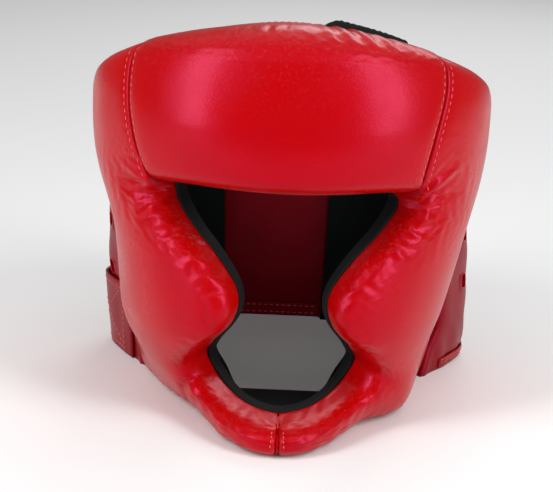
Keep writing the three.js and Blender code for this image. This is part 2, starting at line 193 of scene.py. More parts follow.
# %% [markdown]
# ## From grids to meshes
# Every piece is a grid of points, so one helper turns a grid into quads and another closes two grids
# into a sheet with a rolled edge, as turned and stitched vinyl has. The faces are turned outwards by
# the sign of the volume they enclose. UV coordinates are the grid's own lengths, for woven finishes.

# %% Grid faces, closed sheets and objects


def grid_faces(rows, columns, round_rows=False, round_columns=False, first=0):
    """Quads between neighbouring points of a grid numbered row by row."""
    i = np.arange(rows if round_rows else rows - 1)[:, None]
    j = np.arange(columns if round_columns else columns - 1)[None, :]
    here, below = i * columns, (i + 1) % rows * columns
    beside = (j + 1) % columns
    quads = np.stack(np.broadcast_arrays(here + j, below + j, below + beside, here + beside), -1)
    return quads.reshape(-1, 4) + first


def grid_uv(points):
    """Lengths along the middle row and the middle column, in units of 10 mm."""
    rows, columns = points.shape[:2]
    u = np.linalg.norm(np.diff(points[rows // 2], axis=0), axis=-1).cumsum()
    v = np.linalg.norm(np.diff(points[:, columns // 2], axis=0), axis=-1).cumsum()
    u, v = np.insert(u, 0, 0) / 10, np.insert(v, 0, 0) / 10
    return np.stack(np.meshgrid(u, v), -1).reshape(-1, 2)


def turned_outwards(points, faces, about):
    """The faces with their order reversed where the volume seen from a point inside is negative."""
    a, b, c, d = (points[faces[:, k]] - about for k in range(4))
    volume = np.einsum("ij,ij->", a + c, np.cross(c - a, d - b))
    return faces if volume > 0 else faces[:, ::-1]


def make_object(name, points, faces, uv=None, turn=True):
    """A mesh object from points in millimetres, at the origin, shaded smooth and flat on the table."""
    points = points.reshape(-1, 3).copy()
    points[:, 2] = np.maximum(points[:, 2], 0)
    if turn:
        faces = turned_outwards(points, faces, points.mean(0))
    mesh = bpy.data.meshes.new(name)
    mesh.from_pydata((points * MM).tolist(), [], faces.tolist())
    mesh.polygons.foreach_set("use_smooth", np.ones(len(mesh.polygons), bool))
    if uv is not None:
        corners = np.zeros(len(mesh.loops), np.int32)
        mesh.loops.foreach_get("vertex_index", corners)
        mesh.uv_layers.new(name="sewn").data.foreach_set("uv", uv[corners].astype(np.float32).ravel())
    mesh.update()
    piece = bpy.data.objects.new(name, mesh)
    bpy.context.scene.collection.objects.link(piece)
    return piece


def subdivide(piece):
    """One level of Catmull-Clark subdivision, the same in the viewport and in the render."""
    modifier = piece.modifiers.new("finer", "SUBSURF")
    modifier.levels = modifier.render_levels = 1
    return piece


HALF = 3  # half the side of the block of quads that a hole replaces


def block(centre, columns):
    """Grid numbers round a hole's square block, in order."""
    i, j = centre
    k = np.arange(-HALF, HALF)
    side = 0 * k + HALF
    di = np.concatenate([-side, k, side, -k])
    dj = np.concatenate([k, side, -k, -side])
    return (i + di) * columns + j + dj


def closed_sheet(name, outer, inner, roll=0.5, holes=()):
    """Two grids joined round their border by a ring that stands out by a share of the thickness.
    A hole leaves out a block of quads in both grids and joins the two with a wall."""
    rows, columns = outer.shape[:2]
    count = rows * columns
    number = np.arange(count).reshape(rows, columns)
    border = np.concatenate([number[0, :-1], number[:-1, -1], number[-1, :0:-1], number[:0:-1, 0]])
    i, j = border // columns, border % columns
    out = outer[i, j] - outer[np.clip(i, 1, rows - 2), np.clip(j, 1, columns - 2)]
    out /= np.linalg.norm(out, axis=-1, keepdims=True)
    thick = np.linalg.norm(outer[i, j] - inner[i, j], axis=-1, keepdims=True)
    ring = (outer[i, j] + inner[i, j]) / 2 + out * thick * roll
    points = np.concatenate([outer.reshape(-1, 3), inner.reshape(-1, 3), ring])
    here = np.arange(len(border))
    after = (here + 1) % len(border)
    top, low, middle = border, border + count, 2 * count + here
    whole = np.ones((rows - 1, columns - 1), bool)
    walls = []
    for centre in holes:
        whole[centre[0] - HALF:centre[0] + HALF, centre[1] - HALF:centre[1] + HALF] = False
        rim = block(centre, columns)
        beyond = np.roll(rim, -1)
        walls.append(np.stack([rim, beyond, beyond + count, rim + count], -1))
    quads = grid_faces(rows, columns)[whole.ravel()]
    faces = np.concatenate([
        quads,
        quads[:, ::-1] + count,
        np.stack([top, middle, middle[after], top[after]], -1)[:, ::-1],
        np.stack([middle, low, low[after], middle[after]], -1)[:, ::-1],
        *walls,
    ])
    uv = np.concatenate([grid_uv(outer), grid_uv(inner), grid_uv(outer)[border]])
    return make_object(name, points, faces, uv)


def normals(points):
    """Unit normals of a grid: the cross product of its two directions."""
    across = np.gradient(points, axis=1)
    along = np.gradient(points, axis=0)
    n = np.cross(across, along)
    return n / np.maximum(np.linalg.norm(n, axis=-1, keepdims=True), 1e-9)


# %% A piece on its body
BODY_OF = {node: body for body, nodes in frame["record"]["behaviour"]["bodies"].items() for node in nodes}
SIDES = ((1, "left"), (-1, "right"))


def stand_in(piece, slot, *nodes, body=None, bend=None):
    """The piece rides on a body, by default its nodes' own; given a bend, it is only baked in place. It
    takes a finish.
    """
    if bend:
        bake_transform(piece)
    else:
        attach(piece, body or BODY_OF[nodes[0]])
    if slot:
        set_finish(piece, slot)
    if nodes:
        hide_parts(*nodes)
    return piece


print("bodies:", sorted(set(BODY_OF.values())))

# %% [markdown]
# ## The padded covers
# A cover is cut a little larger than its foam, rolled over the foam's edges and sewn down. So each one
# is a grid whose middle follows the form and whose border rounds over and runs down as a wall. The
# forehead cover and the two cheek covers share one height along their seams, where a real pad is
# pulled down by the thread. The two long edges of a cheek pad are smooth curves through a few
# stations, from the temple along the face opening to the middle of the chin.

# %% Edges of the pads as [angle, height] and the shares of the thickness along them
FACE_EDGE = [
    [53, 217], [50.5, 198], [47.5, 178], [43.5, 158], [39.5, 141.5], [37.5, 129.5], [30, 115.5],
    [21.5, 102.5], [13.8, 84], [15, 67], [23.2, 50], [29.3, 37], [25.5, 24.8], [13, 19], [0.12, 16.5],
]
SEAM_SHIFT = {1: [-4.5, -5.5, -7, -5.8, -2], -1: [-1.5, -1.5, -1, -0.5, 0]}
REAR_EDGE = [
    [98, 180], [101, 170], [103, 160], [104, 148], [104, 134], [103, 118], [101, 100], [99, 80],
    [97, 56], [95, 28], [88, 0], [66, 0], [42, 0], [20, 0], [0.12, 0],
]
FACE_EDGES = {side: np.array(FACE_EDGE, float) for side in (1, -1)}
for side, shift in SEAM_SHIFT.items():
    FACE_EDGES[side][:len(shift), 0] += shift
LAST = len(FACE_EDGE) - 1
SEAM_END = 4  # the station where the seam with the forehead ends
BROW = 143.5
FOREHEAD_TOP, FOREHEAD_FALL = 231, 14
FOREHEAD_TALL, FOREHEAD_HALF = 80, 100  # rough lengths over the pad, to turn shares into distances
TEMPLE_STEP, CHIN_STEP = 19, 20  # between stations, at the cheek pad's two ends
BOTTOM = 2.5  # where a cover's walls end, over the cavity
ARC = 2.0  # millimetres to a degree
WALL = 5  # grid rows in a wall
SEAM_SHARE = 0.97
TOP_SHARE, BROW_SHARE = 0.62, 0.64
SEAM_ROLL, FREE_ROLL, CHIN_ROLL = 1.3, 9.0, 2.0
CHEEK_ROWS, CHEEK_COLUMNS = 150, 56
FOREHEAD_ROWS, FOREHEAD_COLUMNS = 54, 112


def smoothstep(x):
    """Rises from 0 to 1 without corners."""
    x = np.clip(x, 0, 1)
    return x * x * (3 - 2 * x)


def mix(a, b, share):
    """a at share 0, b at share 1."""
    return a + (b - a) * share


def crown(across, start, end, power=2.6):
    """Share of the full thickness: a superellipse that falls to the given shares at both edges."""
    x = 2 * across - 1
    rounded = np.maximum(0, 1 - np.abs(x) ** power) ** (1 / power)
    edge = np.where(x < 0, start, end)
    return edge + (1 - edge) * rounded


def with_walls(values, start_inset, end_inset):
    """Positions along a pad with wall positions at both ends, and each one's share of the way down."""
    w = np.arange(1, WALL + 1) / WALL
    longer = [values[0] + (start_inset * w)[::-1], values, values[-1] - end_inset * w]
    return np.concatenate(longer), np.concatenate([w[::-1], 0 * values, w])


def closer_at_edges(count, share=0.5):
    """Positions from 0 to 1, half of their spacing even and half of it a cosine's."""
    t = np.linspace(0, 1, count)
    return mix(t, (1 - np.cos(np.pi * t)) / 2, share)


def fold(angle, height, path, depth, width):
    """A crease: a bell shape across the distance to a line, fading out towards the line's far end.
    The path is [angle, height] points, and an inward crease has a negative depth."""
    found = np.zeros(np.broadcast(angle, height).shape)
    steps = len(path) - 1
    for k, ((a0, h0), (a1, h1)) in enumerate(zip(path[:-1], path[1:])):
        du, dv = (a1 - a0) * ARC, h1 - h0
        u, v = (angle - a0) * ARC, height - h0
        t = np.clip((u * du + v * dv) / (du * du + dv * dv), 0, 1)
        distance = np.hypot(u - t * du, v - t * dv)
        strength = 1 - smoothstep((k + t) / steps)
        found = np.maximum(found, strength * np.exp(-((distance / width) ** 2)))
    return depth * found


# %% [markdown]
# ### Where the vinyl creases
# Vinyl creases where a convex pad bends sharply: fans of short folds at the corners of the eyes, small
# puckers along the waist of the face opening, and one long soft fold from the corner of the mouth down
# to the rim, between cheek and chin. A crease is drawn as a line on the form. The two sides
# differ, because a used pad settles unevenly.

# %% Creases of the two cheek pads: [path, depth, width]
CREASES = {
    -1: [
        [[[38, 137], [42, 133.5], [47, 133.5], [57, 134.5]], -4.8, 2.8],
        [[[38.5, 138.5], [42.5, 141.5], [47, 145.5], [54, 152]], 2.8, 3.2],
        [[[38.5, 146], [42, 152], [46, 154], [51, 153]], -1.2, 2.2],
        [[[37.2, 133], [40, 130], [44, 128]], -1.4, 1.6],
        [[[37, 131], [40, 127.5], [44, 124]], 1.0, 1.8],
        [[[35.5, 126], [40, 122], [45, 117]], -0.9, 2.2],
        [[[33, 121], [37, 118], [42, 113]], 0.8, 2.2],
        [[[30, 116], [33, 113], [37, 108]], -0.7, 2.0],
        [[[22, 103], [25, 103], [29, 99]], 0.9, 2.4],
        [[[17, 94], [21, 95], [25, 91]], 1.0, 2.2],
        [[[15, 88], [19, 88], [23, 85]], -0.7, 1.8],
        [[[21.8, 46], [23.5, 36], [27.5, 30], [33.5, 19], [35, 8], [35, 0], [35, -12]], -4.5, 4.0],
        [[[22.2, 49], [27, 44], [33, 36], [38, 30]], -1.8, 4.5],
        [[[20.5, 33], [26, 25], [30, 14], [31, 4]], 1.0, 4.0],
    ],
    1: [
        [[[37, 132], [40.5, 138], [44, 143], [51, 151]], -4.8, 2.6],
        [[[38.5, 140], [43, 147.5], [48, 153], [56, 160]], 3.0, 3.2],
        [[[38.5, 146], [42, 154], [46, 162]], -1.2, 2.2],
        [[[37, 130], [41, 132], [46, 135]], -1.4, 1.7],
        [[[36.8, 127], [41, 127], [46, 127.5]], 1.1, 1.7],
        [[[35.5, 124], [40, 123], [45, 121]], -0.9, 1.8],
        [[[34.5, 121], [38, 118], [42, 114]], 0.9, 2.0],
        [[[31, 115], [35, 112], [39, 107]], -0.8, 2.0],
        [[[29, 112], [32.5, 108], [37, 103]], 0.9, 2.2],
        [[[26, 112], [20, 99], [17, 91]], 0.7, 2.2],
        [[[16, 90], [20, 92], [24, 90]], 0.9, 2.6],
        [[[22, 52], [25, 46], [29.5, 38], [35, 28], [41, 17], [44, 8]], -3.6, 4.5],
        [[[23, 41], [27, 37], [30, 31]], 1.2, 2.6],
        [[[22.5, 47], [28, 50], [35, 50]], -1.2, 6.0],
    ],
}


def creased(angle, height, side):
    """Sum of a side's folds."""
    return sum(fold(angle, height, *line) for line in CREASES[side])


# %% Shape of a cheek pad: height over the cavity at every station along and share across


def edge_line(edge, station):
    """Angle and height of a pad's edge at a station."""
    point = curve(edge, station)
    return point[..., 0], np.maximum(point[..., 1], 0)


def seam_fullness(station):
    """The thickness that forehead and cheek share along their seam."""
    return SEAM_SHARE * crown(np.clip(station / SEAM_END, 0, 1), TOP_SHARE, BROW_SHARE)


def cheek_form(station, share, side):
    """Angle, height, cavity radius and pad thickness, before the edges are rolled."""
    a0, h0 = edge_line(FACE_EDGES[side], station)
    a1, h1 = edge_line(REAR_EDGE, station)
    angle, height = mix(a0, a1, share), mix(h0, h1, share)
    seam = 1 - smoothstep((station - 3.3) / 1.5)
    rear = np.interp(station, [0, 8.5, 10], [0.5, 0.75, 0.85])
    top = np.sqrt(1 - (1 - np.clip(station / 1.3, 0, 1)) ** 2)
    own = crown(share, mix(0.5, SEAM_SHARE, seam), rear) * (0.75 + 0.25 * top)
    full = mix(own, seam_fullness(station), seam * (1 - smoothstep(share / 0.3)))
    inside = cavity(angle, height)
    length = np.hypot((a1 - a0) * ARC, h1 - h0)
    return angle, height, inside, full * (outside(angle, height, side) - inside), length


def roll_drop(near_long, near_end, long_radius, end_radius):
    """Drop of a rolled edge: near is 1 on the edge and 0 a radius away, and both edges round a corner."""
    near = np.clip(np.hypot(near_long, near_end), 0, 1)
    share = near_end**2 / (near_long**2 + near_end**2 + 1e-9)
    return mix(long_radius, end_radius, share) * (1 - np.sqrt(1 - near**2))


def seam_dip(distance):
    """The thread pulls the pad down beside a seam, in millimetres."""
    return 0.9 * np.exp(-((distance / 5) ** 2))


def cheek_positions():
    """Station of each row, share of each column, and how far down its wall each of them lies."""
    stations, down_row = with_walls(np.linspace(0, LAST, CHEEK_ROWS), 0.03, 0.03)
    shares, down_column = with_walls(closer_at_edges(CHEEK_COLUMNS), 0.006, 0.006)
    return stations[:, None], shares[None, :], down_row[:, None], down_column[None, :]


def cheek_grid(side):
    """The cover's points: the pad's thickness less the rolled edges and the creases, with walls."""
    station, share, down_row, down_column = cheek_positions()
    angle, height, inside, pad, length = cheek_form(station, share, side)
    seam = 1 - smoothstep((station - 3.5) / 1.2)
    free = np.minimum(8.5, 0.44 * length)
    long_radius = np.where(share < 0.5, mix(free, SEAM_ROLL, seam), free)
    temple = station < LAST / 2
    end_radius = np.where(temple, FREE_ROLL, CHIN_ROLL)
    end_distance = np.where(temple, station * TEMPLE_STEP, (LAST - station) * CHIN_STEP)
    near_long = np.clip(1 - np.minimum(share, 1 - share) * length / long_radius, 0, 1)
    near_end = np.clip(1 - end_distance / end_radius, 0, 1)
    near_long = np.where(down_column > 0, 1, near_long)
    near_end = np.where(down_row > 0, 1, near_end)
    dip = seam * seam_dip(share * length) + seam_dip((LAST - station) * CHIN_STEP) * 0.6
    surface = pad - roll_drop(near_long, near_end, long_radius, end_radius) - dip
    surface = surface + creased(angle, height, side) * smoothstep(surface / 12)
    rise = mix(np.maximum(surface, BOTTOM + 1), BOTTOM, np.maximum(down_row, down_column))
    return place(angle, height, inside + rise, side)


# %% Shape of the forehead pad


def forehead_form(down, across):
    """Signed angle, height, cavity radius and thickness; across runs from -1 to 1."""
    left_angle, seam_height = edge_line(FACE_EDGES[1], down * SEAM_END)
    right_angle, _ = edge_line(FACE_EDGES[-1], down * SEAM_END)
    angle = np.where(across > 0, left_angle, right_angle) * across * 0.994
    top = FOREHEAD_TOP - FOREHEAD_FALL * across**2
    level = mix(FOREHEAD_TOP - FOREHEAD_FALL, BROW, down)
    height = mix(top, BROW, down) + (seam_height - level) * across**4
    inside = cavity(angle, height)
    full = crown(down, TOP_SHARE, BROW_SHARE) * crown((across + 1) / 2, SEAM_SHARE, SEAM_SHARE, 7)
    return angle, height, inside, full * (outside(angle, height, 0) - inside)


def forehead_positions():
    """Share down of each row, share across of each column, and how far down its wall each lies."""
    downs, down_row = with_walls(closer_at_edges(FOREHEAD_ROWS), 0.008, 0.008)
    across, down_column = with_walls(2 * closer_at_edges(FOREHEAD_COLUMNS, 0.3) - 1, 0.006, 0.006)
    return downs[:, None], across[None, :], down_row[:, None], down_column[None, :]


def forehead_grid():
    """As the cheek's: rolled at the top and the brow, dipped along both seams, puckered at the top."""
    down, u, down_row, down_column = forehead_positions()
    angle, height, inside, pad = forehead_form(down, u)
    from_seam = (1 - np.abs(u)) * FOREHEAD_HALF
    near_end = np.clip(1 - np.minimum(down, 1 - down) * FOREHEAD_TALL / FREE_ROLL, 0, 1)
    near_long = np.clip(1 - from_seam / SEAM_ROLL, 0, 1) + 0 * down
    near_end = np.where(down_row > 0, 1, near_end) + 0 * u
    near_long = np.where(down_column > 0, 1, near_long)
    pucker = np.sin((angle - 9) * 2 * np.pi / 6.3) * np.exp(-(((angle - 21) / 11) ** 2))
    height = height + 0.9 * pucker * (1 - smoothstep(down / 0.07))
    surface = pad - roll_drop(near_long, near_end, SEAM_ROLL, FREE_ROLL) - seam_dip(from_seam)
    return place(angle, height, inside + mix(surface, BOTTOM, np.maximum(down_row, down_column)))


def cover(name, points):
    """A padded cover piece, which stands for the CAD cover."""
    print(name, "grid", points.shape[:2])
    piece = make_object(name, points, grid_faces(*points.shape[:2]), grid_uv(points))
    return stand_in(piece, "red_vinyl", name.replace("_pad", ""))


GRIDS = {
    "cheek_pad_cover_left": cheek_grid(1),
    "cheek_pad_cover_right": cheek_grid(-1),
    "forehead_pad_cover": forehead_grid(),
}
COVERS = {name: cover(name, points) for name, points in GRIDS.items()}

# %% [markdown]
# ### Letting the vinyl settle
# The puckers of a real cover come from cloth that is longer than the foam's edge it is sewn to. That is
# simulated: the walls are pinned where they are sewn, the middle is held softly by the foam, and the
# cloth is given more length where the maker eased it in, so it buckles there. The movement is kept
# along the surface's normal, capped, and written into the mesh, so no simulation stays on the piece.

# %% Cloth on foam, with extra length where the slack is
SETTLE_FRAMES = 10
HELD_BY_FOAM = 0.3  # pin weight between the walls
EXTRA_LENGTH = 0.07  # share of length added where the slack is 1
CAP = 2.0
WEIGHT_STEPS = 20
SETTINGS = {
    "quality": 5,
    "mass": 0.3,
    "tension_stiffness": 15,
    "compression_stiffness": 15,
    "shear_stiffness": 6,
    "bending_stiffness": 0.5,
    "shrink_min": -EXTRA_LENGTH,
    "shrink_max": 0,
}


def vertex_weights(piece, name, values):
    """A vertex group whose weights are set in steps."""
    group = piece.vertex_groups.new(name=name)
    steps = np.round(values.ravel() * WEIGHT_STEPS) / WEIGHT_STEPS
    for step in np.unique(steps):
        group.add(np.nonzero(steps == step)[0].tolist(), float(step), "REPLACE")
    return name


def settle(piece, points, walls, slack):
    """Points after the cloth has buckled: the normal movement, squeezed under the cap by a tanh."""
    cloth = piece.modifiers.new("settle", "CLOTH")
    cloth.point_cache.frame_start, cloth.point_cache.frame_end = 1, SETTLE_FRAMES + 2
    cloth.collision_settings.use_collision = False
    settings = cloth.settings
    for key, value in SETTINGS.items():
        setattr(settings, key, value)
    settings.effector_weights.gravity = 0
    settings.vertex_group_mass = vertex_weights(piece, "sewn", np.where(walls > 0, 1, HELD_BY_FOAM))
    settings.vertex_group_shrink = vertex_weights(piece, "eased", 1 - slack)
    for step in range(1, SETTLE_FRAMES + 1):
        bpy.context.scene.frame_set(step)
    settled = piece.evaluated_get(bpy.context.evaluated_depsgraph_get()).data
    place_now = np.zeros(points.size)
    settled.vertices.foreach_get("co", place_now)
    moved = place_now.reshape(points.shape) / MM - points
    normal = normals(points)
    out = np.einsum("ijk,ijk->ij", moved, normal) * (1 - walls)
    out = CAP * np.tanh(out / CAP)
    points = points + normal * out[..., None]
    points[..., 2] = np.maximum(points[..., 2], 0)
    piece.modifiers.remove(cloth)
    piece.vertex_groups.clear()
    bpy.context.scene.frame_set(1)
    piece.data.vertices.foreach_set("co", (points * MM).astype(np.float32).ravel())
    piece.data.update()
    print(piece.name, "moved by up to", round(float(np.abs(out).max()), 2), "mm")
    return points


def cheek_slack(side):
    """Cloth is eased in along the face opening, most of it at the eye's corner, and a little at the rim."""
    station, share, down_row, down_column = cheek_positions()
    angle, height, _, _, length = cheek_form(station, share, side)
    edge = np.exp(-(((share * length - 8) / 10) ** 2)) * smoothstep((station - 3.8) / 1.2)
    edge = edge * (1 - 0.45 * smoothstep((station - 9) / 2))
    corner = np.exp(-(((angle - 42) * ARC / 22) ** 2) - ((height - 138) / 20) ** 2)
    rim = 0.25 * np.exp(-((((1 - share) * length - 6) / 8) ** 2)) * smoothstep((station - 9) / 2)
    return np.maximum(down_row, down_column), np.clip(0.6 * edge + 0.75 * corner + rim, 0, 1)


def forehead_slack():
    """Cloth is eased in along the top edge and at the brow's two ends."""
    down, u, down_row, down_column = forehead_positions()
    top = 0.35 * np.exp(-(((down - 0.03) / 0.06) ** 2)) + 0 * u
    ends = 0.45 * np.exp(-(((down - 1) / 0.16) ** 2) - ((1 - np.abs(u)) / 0.16) ** 2)
    return np.maximum(down_row, down_column), np.clip(top + ends, 0, 1)


SLACK = {
    "cheek_pad_cover_left": cheek_slack(1),
    "cheek_pad_cover_right": cheek_slack(-1),
    "forehead_pad_cover": forehead_slack(),
}


FOLD_SCALE = 2.5  # share of a full fold for each millimetre


def mark_folds(piece, points):
    """The fold attribute, from -1 in a hollow to 1 on a ridge.

    Each point's height over the mean of the points two steps away, less the median, is scaled and
    clipped. It is 0 in the outer rows, where the grid turns into the walls.
    """
    around = sum(np.roll(points, step, axis) for step, axis in ((2, 0), (-2, 0), (2, 1), (-2, 1))) / 4
    over = np.einsum("ijk,ijk->ij", points - around, normals(points))
    over[:3] = over[-3:] = over[:, :3] = over[:, -3:] = 0
    over = over - np.median(over)
    # The vinyl finish darkens the hollows of this attribute as painted shade and lightens its ridges as
    # rubbing.
    mark = piece.data.attributes.new("fold", "FLOAT", "POINT")
    mark.data.foreach_set("value", np.clip(over * FOLD_SCALE, -1, 1).astype(np.float32).ravel())


for name, piece in COVERS.items():
    GRIDS[name] = settle(piece, GRIDS[name], *SLACK[name])
    mark_folds(piece, GRIDS[name])
    subdivide(piece)

# %% [markdown]
# ### The seam of the chin
# The two side pads meet in the middle of the chin, where the real ones are sewn face to face and a thin
# welt of vinyl fills the seam. The strip is laid between the last rows of both covers, a little sunk.

# %% A welt in the seam of the chin


def chin_cord(thick=0.9, sunk=0.3, arch=0.4):
    """Between the covers' last rows, overlapping both, with its middle raised by a half sine."""
    left, right = GRIDS["cheek_pad_cover_left"], GRIDS["cheek_pad_cover_right"]
    row = len(left) - 1 - WALL
    a, b, up = left[row], right[row], (normals(left)[row - 2] + normals(right)[row - 2]) / 2
    outward = (a + b) / 2 - np.array([AXIS[0], AXIS[1] - 40, 60])
    up = up * np.sign(np.einsum("ij,ij->i", up, outward))[:, None]
    a, b = a + (a - b) * 0.2, b + (b - a) * 0.2
    steps = np.linspace(0, 1, 7)
    top = np.stack([mix(a, b, t) - up * (sunk - arch * np.sin(np.pi * t)) for t in steps], 1)
    low = np.stack([mix(a, b, t) - up * (sunk + thick) for t in steps], 1)
    cord = closed_sheet("chin_seam_cord", top[WALL:-WALL], low[WALL:-WALL])
    stand_in(cord, "red_vinyl", body="shell")
    print("chin gap in mm:", np.round(np.linalg.norm(left[row] - right[row], axis=-1)[[20, 40, 60]], 2))


chin_cord()

# %% [markdown]
# ## Foam, lining and binding
# Under each cover lies a foam pad, and inside it a black cloth lining that touches the head. Both are
# sheets between two depths of the same form, so they fit under the covers without measuring. Round
# the face opening a black tape is sewn over the raw edges of cover and lining: it is one rounded
# section carried along the opening's outline.

# %% Foam pads and linings of the cheeks and the forehead
LINING = 2.2
LOOSE = 5.0  # how far the lining hangs inwards at the corner of the mouth
FOAM_ROLL, FOAM_UNDER = 8, 6  # the foam's rounding, and its depth under the cover


def foam_top(pad, edge, low):
    """The pad's thickness less its rolled edge and the depth under the cover."""
    near = np.clip(1 - edge / FOAM_ROLL, 0, 1)
    return np.maximum(pad - roll_drop(near, 0, FOAM_ROLL, FOAM_ROLL) - FOAM_UNDER, low + 1.5)


def cheek_layer(side, low, high, ends, edges, rows=61, columns=23):
    """Outer and inner grid of a cheek layer; high is None for a foam that fills the cover."""
    station = np.linspace(ends[0], LAST - ends[1], rows)[:, None]
    share = np.linspace(edges, 1 - edges, columns)[None, :]
    angle, height, inside, pad, length = cheek_form(station, share, side)
    if high is None:
        high = foam_top(pad, np.minimum(share, 1 - share) * length, low)
    else:
        inside = inside - LOOSE * np.exp(-((((angle - 25) * ARC) / 14) ** 2) - ((height - 29) / 13) ** 2)
    return place(angle, height, inside + high, side), place(angle, height, inside + low, side)


def forehead_layer(low, high, ends, edges, rise, rows=31, columns=61):
    """The same for the forehead; rise lifts the layer's top edge over the cover's by that height."""
    down = np.linspace(ends, 1 - ends, rows)[:, None]
    across = np.linspace(-1 + edges, 1 - edges, columns)[None, :]
    angle, height, inside, pad = forehead_form(down, across)
    height = height + rise(angle) * (1 - smoothstep(down / 0.12))
    if high is None:
        high = foam_top(pad, np.minimum(down, 1 - down) * FOREHEAD_TALL, low)
    return place(angle, height, inside + high), place(angle, height, inside + low)


def lining_rise(angle):
    """Height of the cloth's edge beside the cover's: it stands over it most at the wearer's left."""
    left = 9.3 * smoothstep((angle - 6) / 14) + 1.5 * np.exp(-(((angle - 10) / 8) ** 2))
    lump = 5.0 * np.exp(-(((angle + 47) / 6) ** 2))
    frayed = 0.25 * np.sin(angle * 2.3) + 0.2 * np.sin(angle * 5.1)
    return left + lump + frayed - 7.5


for side, wearer in SIDES:
    layer = cheek_layer(side, BOTTOM, None, (0.4, 0.25), 0.06)
    foam = closed_sheet(f"cheek_pad_foam_{wearer}", *layer, 0.05)
    stand_in(foam, "pad_foam", f"cheek_foam_{wearer}")
    lining = closed_sheet(f"cheek_pad_lining_{wearer}", *cheek_layer(side, 0.2, LINING, (0, 0), 0.002))
    stand_in(subdivide(lining), "black_lining", f"cheek_lining_{wearer}")
layer = forehead_layer(BOTTOM, None, 0.08, 0.03, lambda angle: 0)
stand_in(closed_sheet("forehead_pad_foam", *layer, 0.05), "pad_foam", "forehead_foam")
layer = forehead_layer(0.2, 3.4, 0, 0.002, lining_rise, 41, 121)
lining = closed_sheet("forehead_pad_lining", *layer)
stand_in(subdivide(lining), "black_lining", "forehead_lining")

# %% Binding tape round the face opening
TAPE_DEPTH = 9.0
TAPE_THICK = 1.8


def smoothed(line, steps):
    """A closed line averaged with its neighbours a number of times."""
    for _ in range(steps):
        line = (np.roll(line, 1, 0) + 2 * line + np.roll(line, -1, 0)) / 4
    return line


def opening_line(per_station=12):
    """The opening's outline as signed angle and height: down one side, up the other and along the brow."""
    station = np.linspace(SEAM_END, LAST, (LAST - SEAM_END) * per_station)
    angle, height = edge_line(FACE_EDGE, station)
    brow = np.linspace(-angle[0], angle[0], 60)[1:-1]
    line = np.concatenate([
        np.stack([angle, height], -1),
        np.stack([-angle, height], -1)[::-1],
        np.stack([brow, BROW + (height[0] - BROW) * (brow / angle[0]) ** 4], -1),
    ])
    return smoothed(line, 10)


def rounded_section(count, wide, deep, power=4):
    """Points round a superellipse of half width and half depth."""
    t = np.arange(count) * 2 * np.pi / count
    c, s = np.cos(t), np.sin(t)
    return wide * np.sign(c) * np.abs(c) ** (2 / power), deep * np.sign(s) * np.abs(s) ** (2 / power)


def tape_grid():
    """The section stands off the outline into the opening and reaches outwards from the cavity."""
    line = opening_line()
    inside = cavity(line[:, 0], line[:, 1])
    arc = np.radians(1) * inside
    step = np.roll(line, -1, 0) - np.roll(line, 1, 0)
    along = np.stack([step[:, 0] * arc, step[:, 1]], -1)
    along /= np.linalg.norm(along, axis=-1, keepdims=True)
    wide, deep = rounded_section(20, TAPE_THICK / 2, TAPE_DEPTH / 2)
    stand = (0.2 + wide)[None, :]
    angle = line[:, :1] + along[:, 1:] * stand / arc[:, None]
    height = line[:, 1:] - along[:, :1] * stand
    return place(angle, height, inside[:, None] + TAPE_DEPTH / 2 - 0.3 + deep[None, :])


TAPE = tape_grid()
tape = make_object(
    "face_binding_tape", TAPE, grid_faces(*TAPE.shape[:2], round_rows=True, round_columns=True)
)
stand_in(tape, "binding_tape", "face_binding")
print("binding sections:", len(TAPE))

# %% [markdown]
# ## Chin gusset
# A flat panel closes the V of the jaw under the chin and ends behind in a straight hem. It is vinyl
# below and cloth above. Its side edges follow the inside of the jaw, found by stepping along the wall.

# %% Gusset and its lining


def gusset(name, slot, node, rear, low, thick, clearance=2.2, rows=9, columns=31):
    """From the chin's wall straight back to the hem; across follows the wall's angle on both sides."""
    angles = np.linspace(1, 60, 600)
    wall = place(angles, 4.0, cavity(angles, 4.0) - clearance)
    widest = angles[np.argmax(wall[:, 1] > rear - 1.5)]
    across = np.linspace(-1, 1, columns)
    edge = place(widest * np.abs(across), 4.0, cavity(widest * np.abs(across), 4.0) - clearance)
    back = np.linspace(0, 1, rows)[:, None]
    x = AXIS[0] + np.sign(across) * (edge[:, 0] - AXIS[0]) + 0 * back
    y = mix(edge[:, 1], rear, back)
    sag = 0.25 * np.sin(np.pi * back) * np.cos(x / 9)
    upper = np.stack([x, y, low + thick + sag], -1)
    lower = np.stack([x, y, low + sag], -1)
    stand_in(subdivide(closed_sheet(name, upper, lower)), slot, node)
    return upper


GUSSET_TOP = gusset("chin_gusset_panel", "dark_red_vinyl", "chin_gusset", -40, 4.8, 2.0)
gusset("chin_gusset_cloth", "black_lining", "chin_gusset_lining", -45, 7.1, 1.2)

# %% [markdown]
# ## Ear panels, nape panel and strap
# Behind the pads hang thin panels: vinyl over a few millimetres of foam, with a cloth lining, punched
# with round holes to hear through. A hole is made in the grid itself, by leaving out a block of quads
# and moving the block's border onto a circle, so the sheet stays closed. The nape panel hangs from
# the wearer's right ear panel, and the strap goes over it and grips the left panel.

# %% Ear panels with their holes
PANEL_TOP = [[86, 168], [104, 168], [115, 164], [145, 156], [180, 150]]
PANEL_END = {1: 165.5, -1: 158}
EAR_HOLES = [[109, 83], [108.5, 52], [125, 88], [124, 58]]
HOLE = 5.0
PANEL_ARC = 2.1


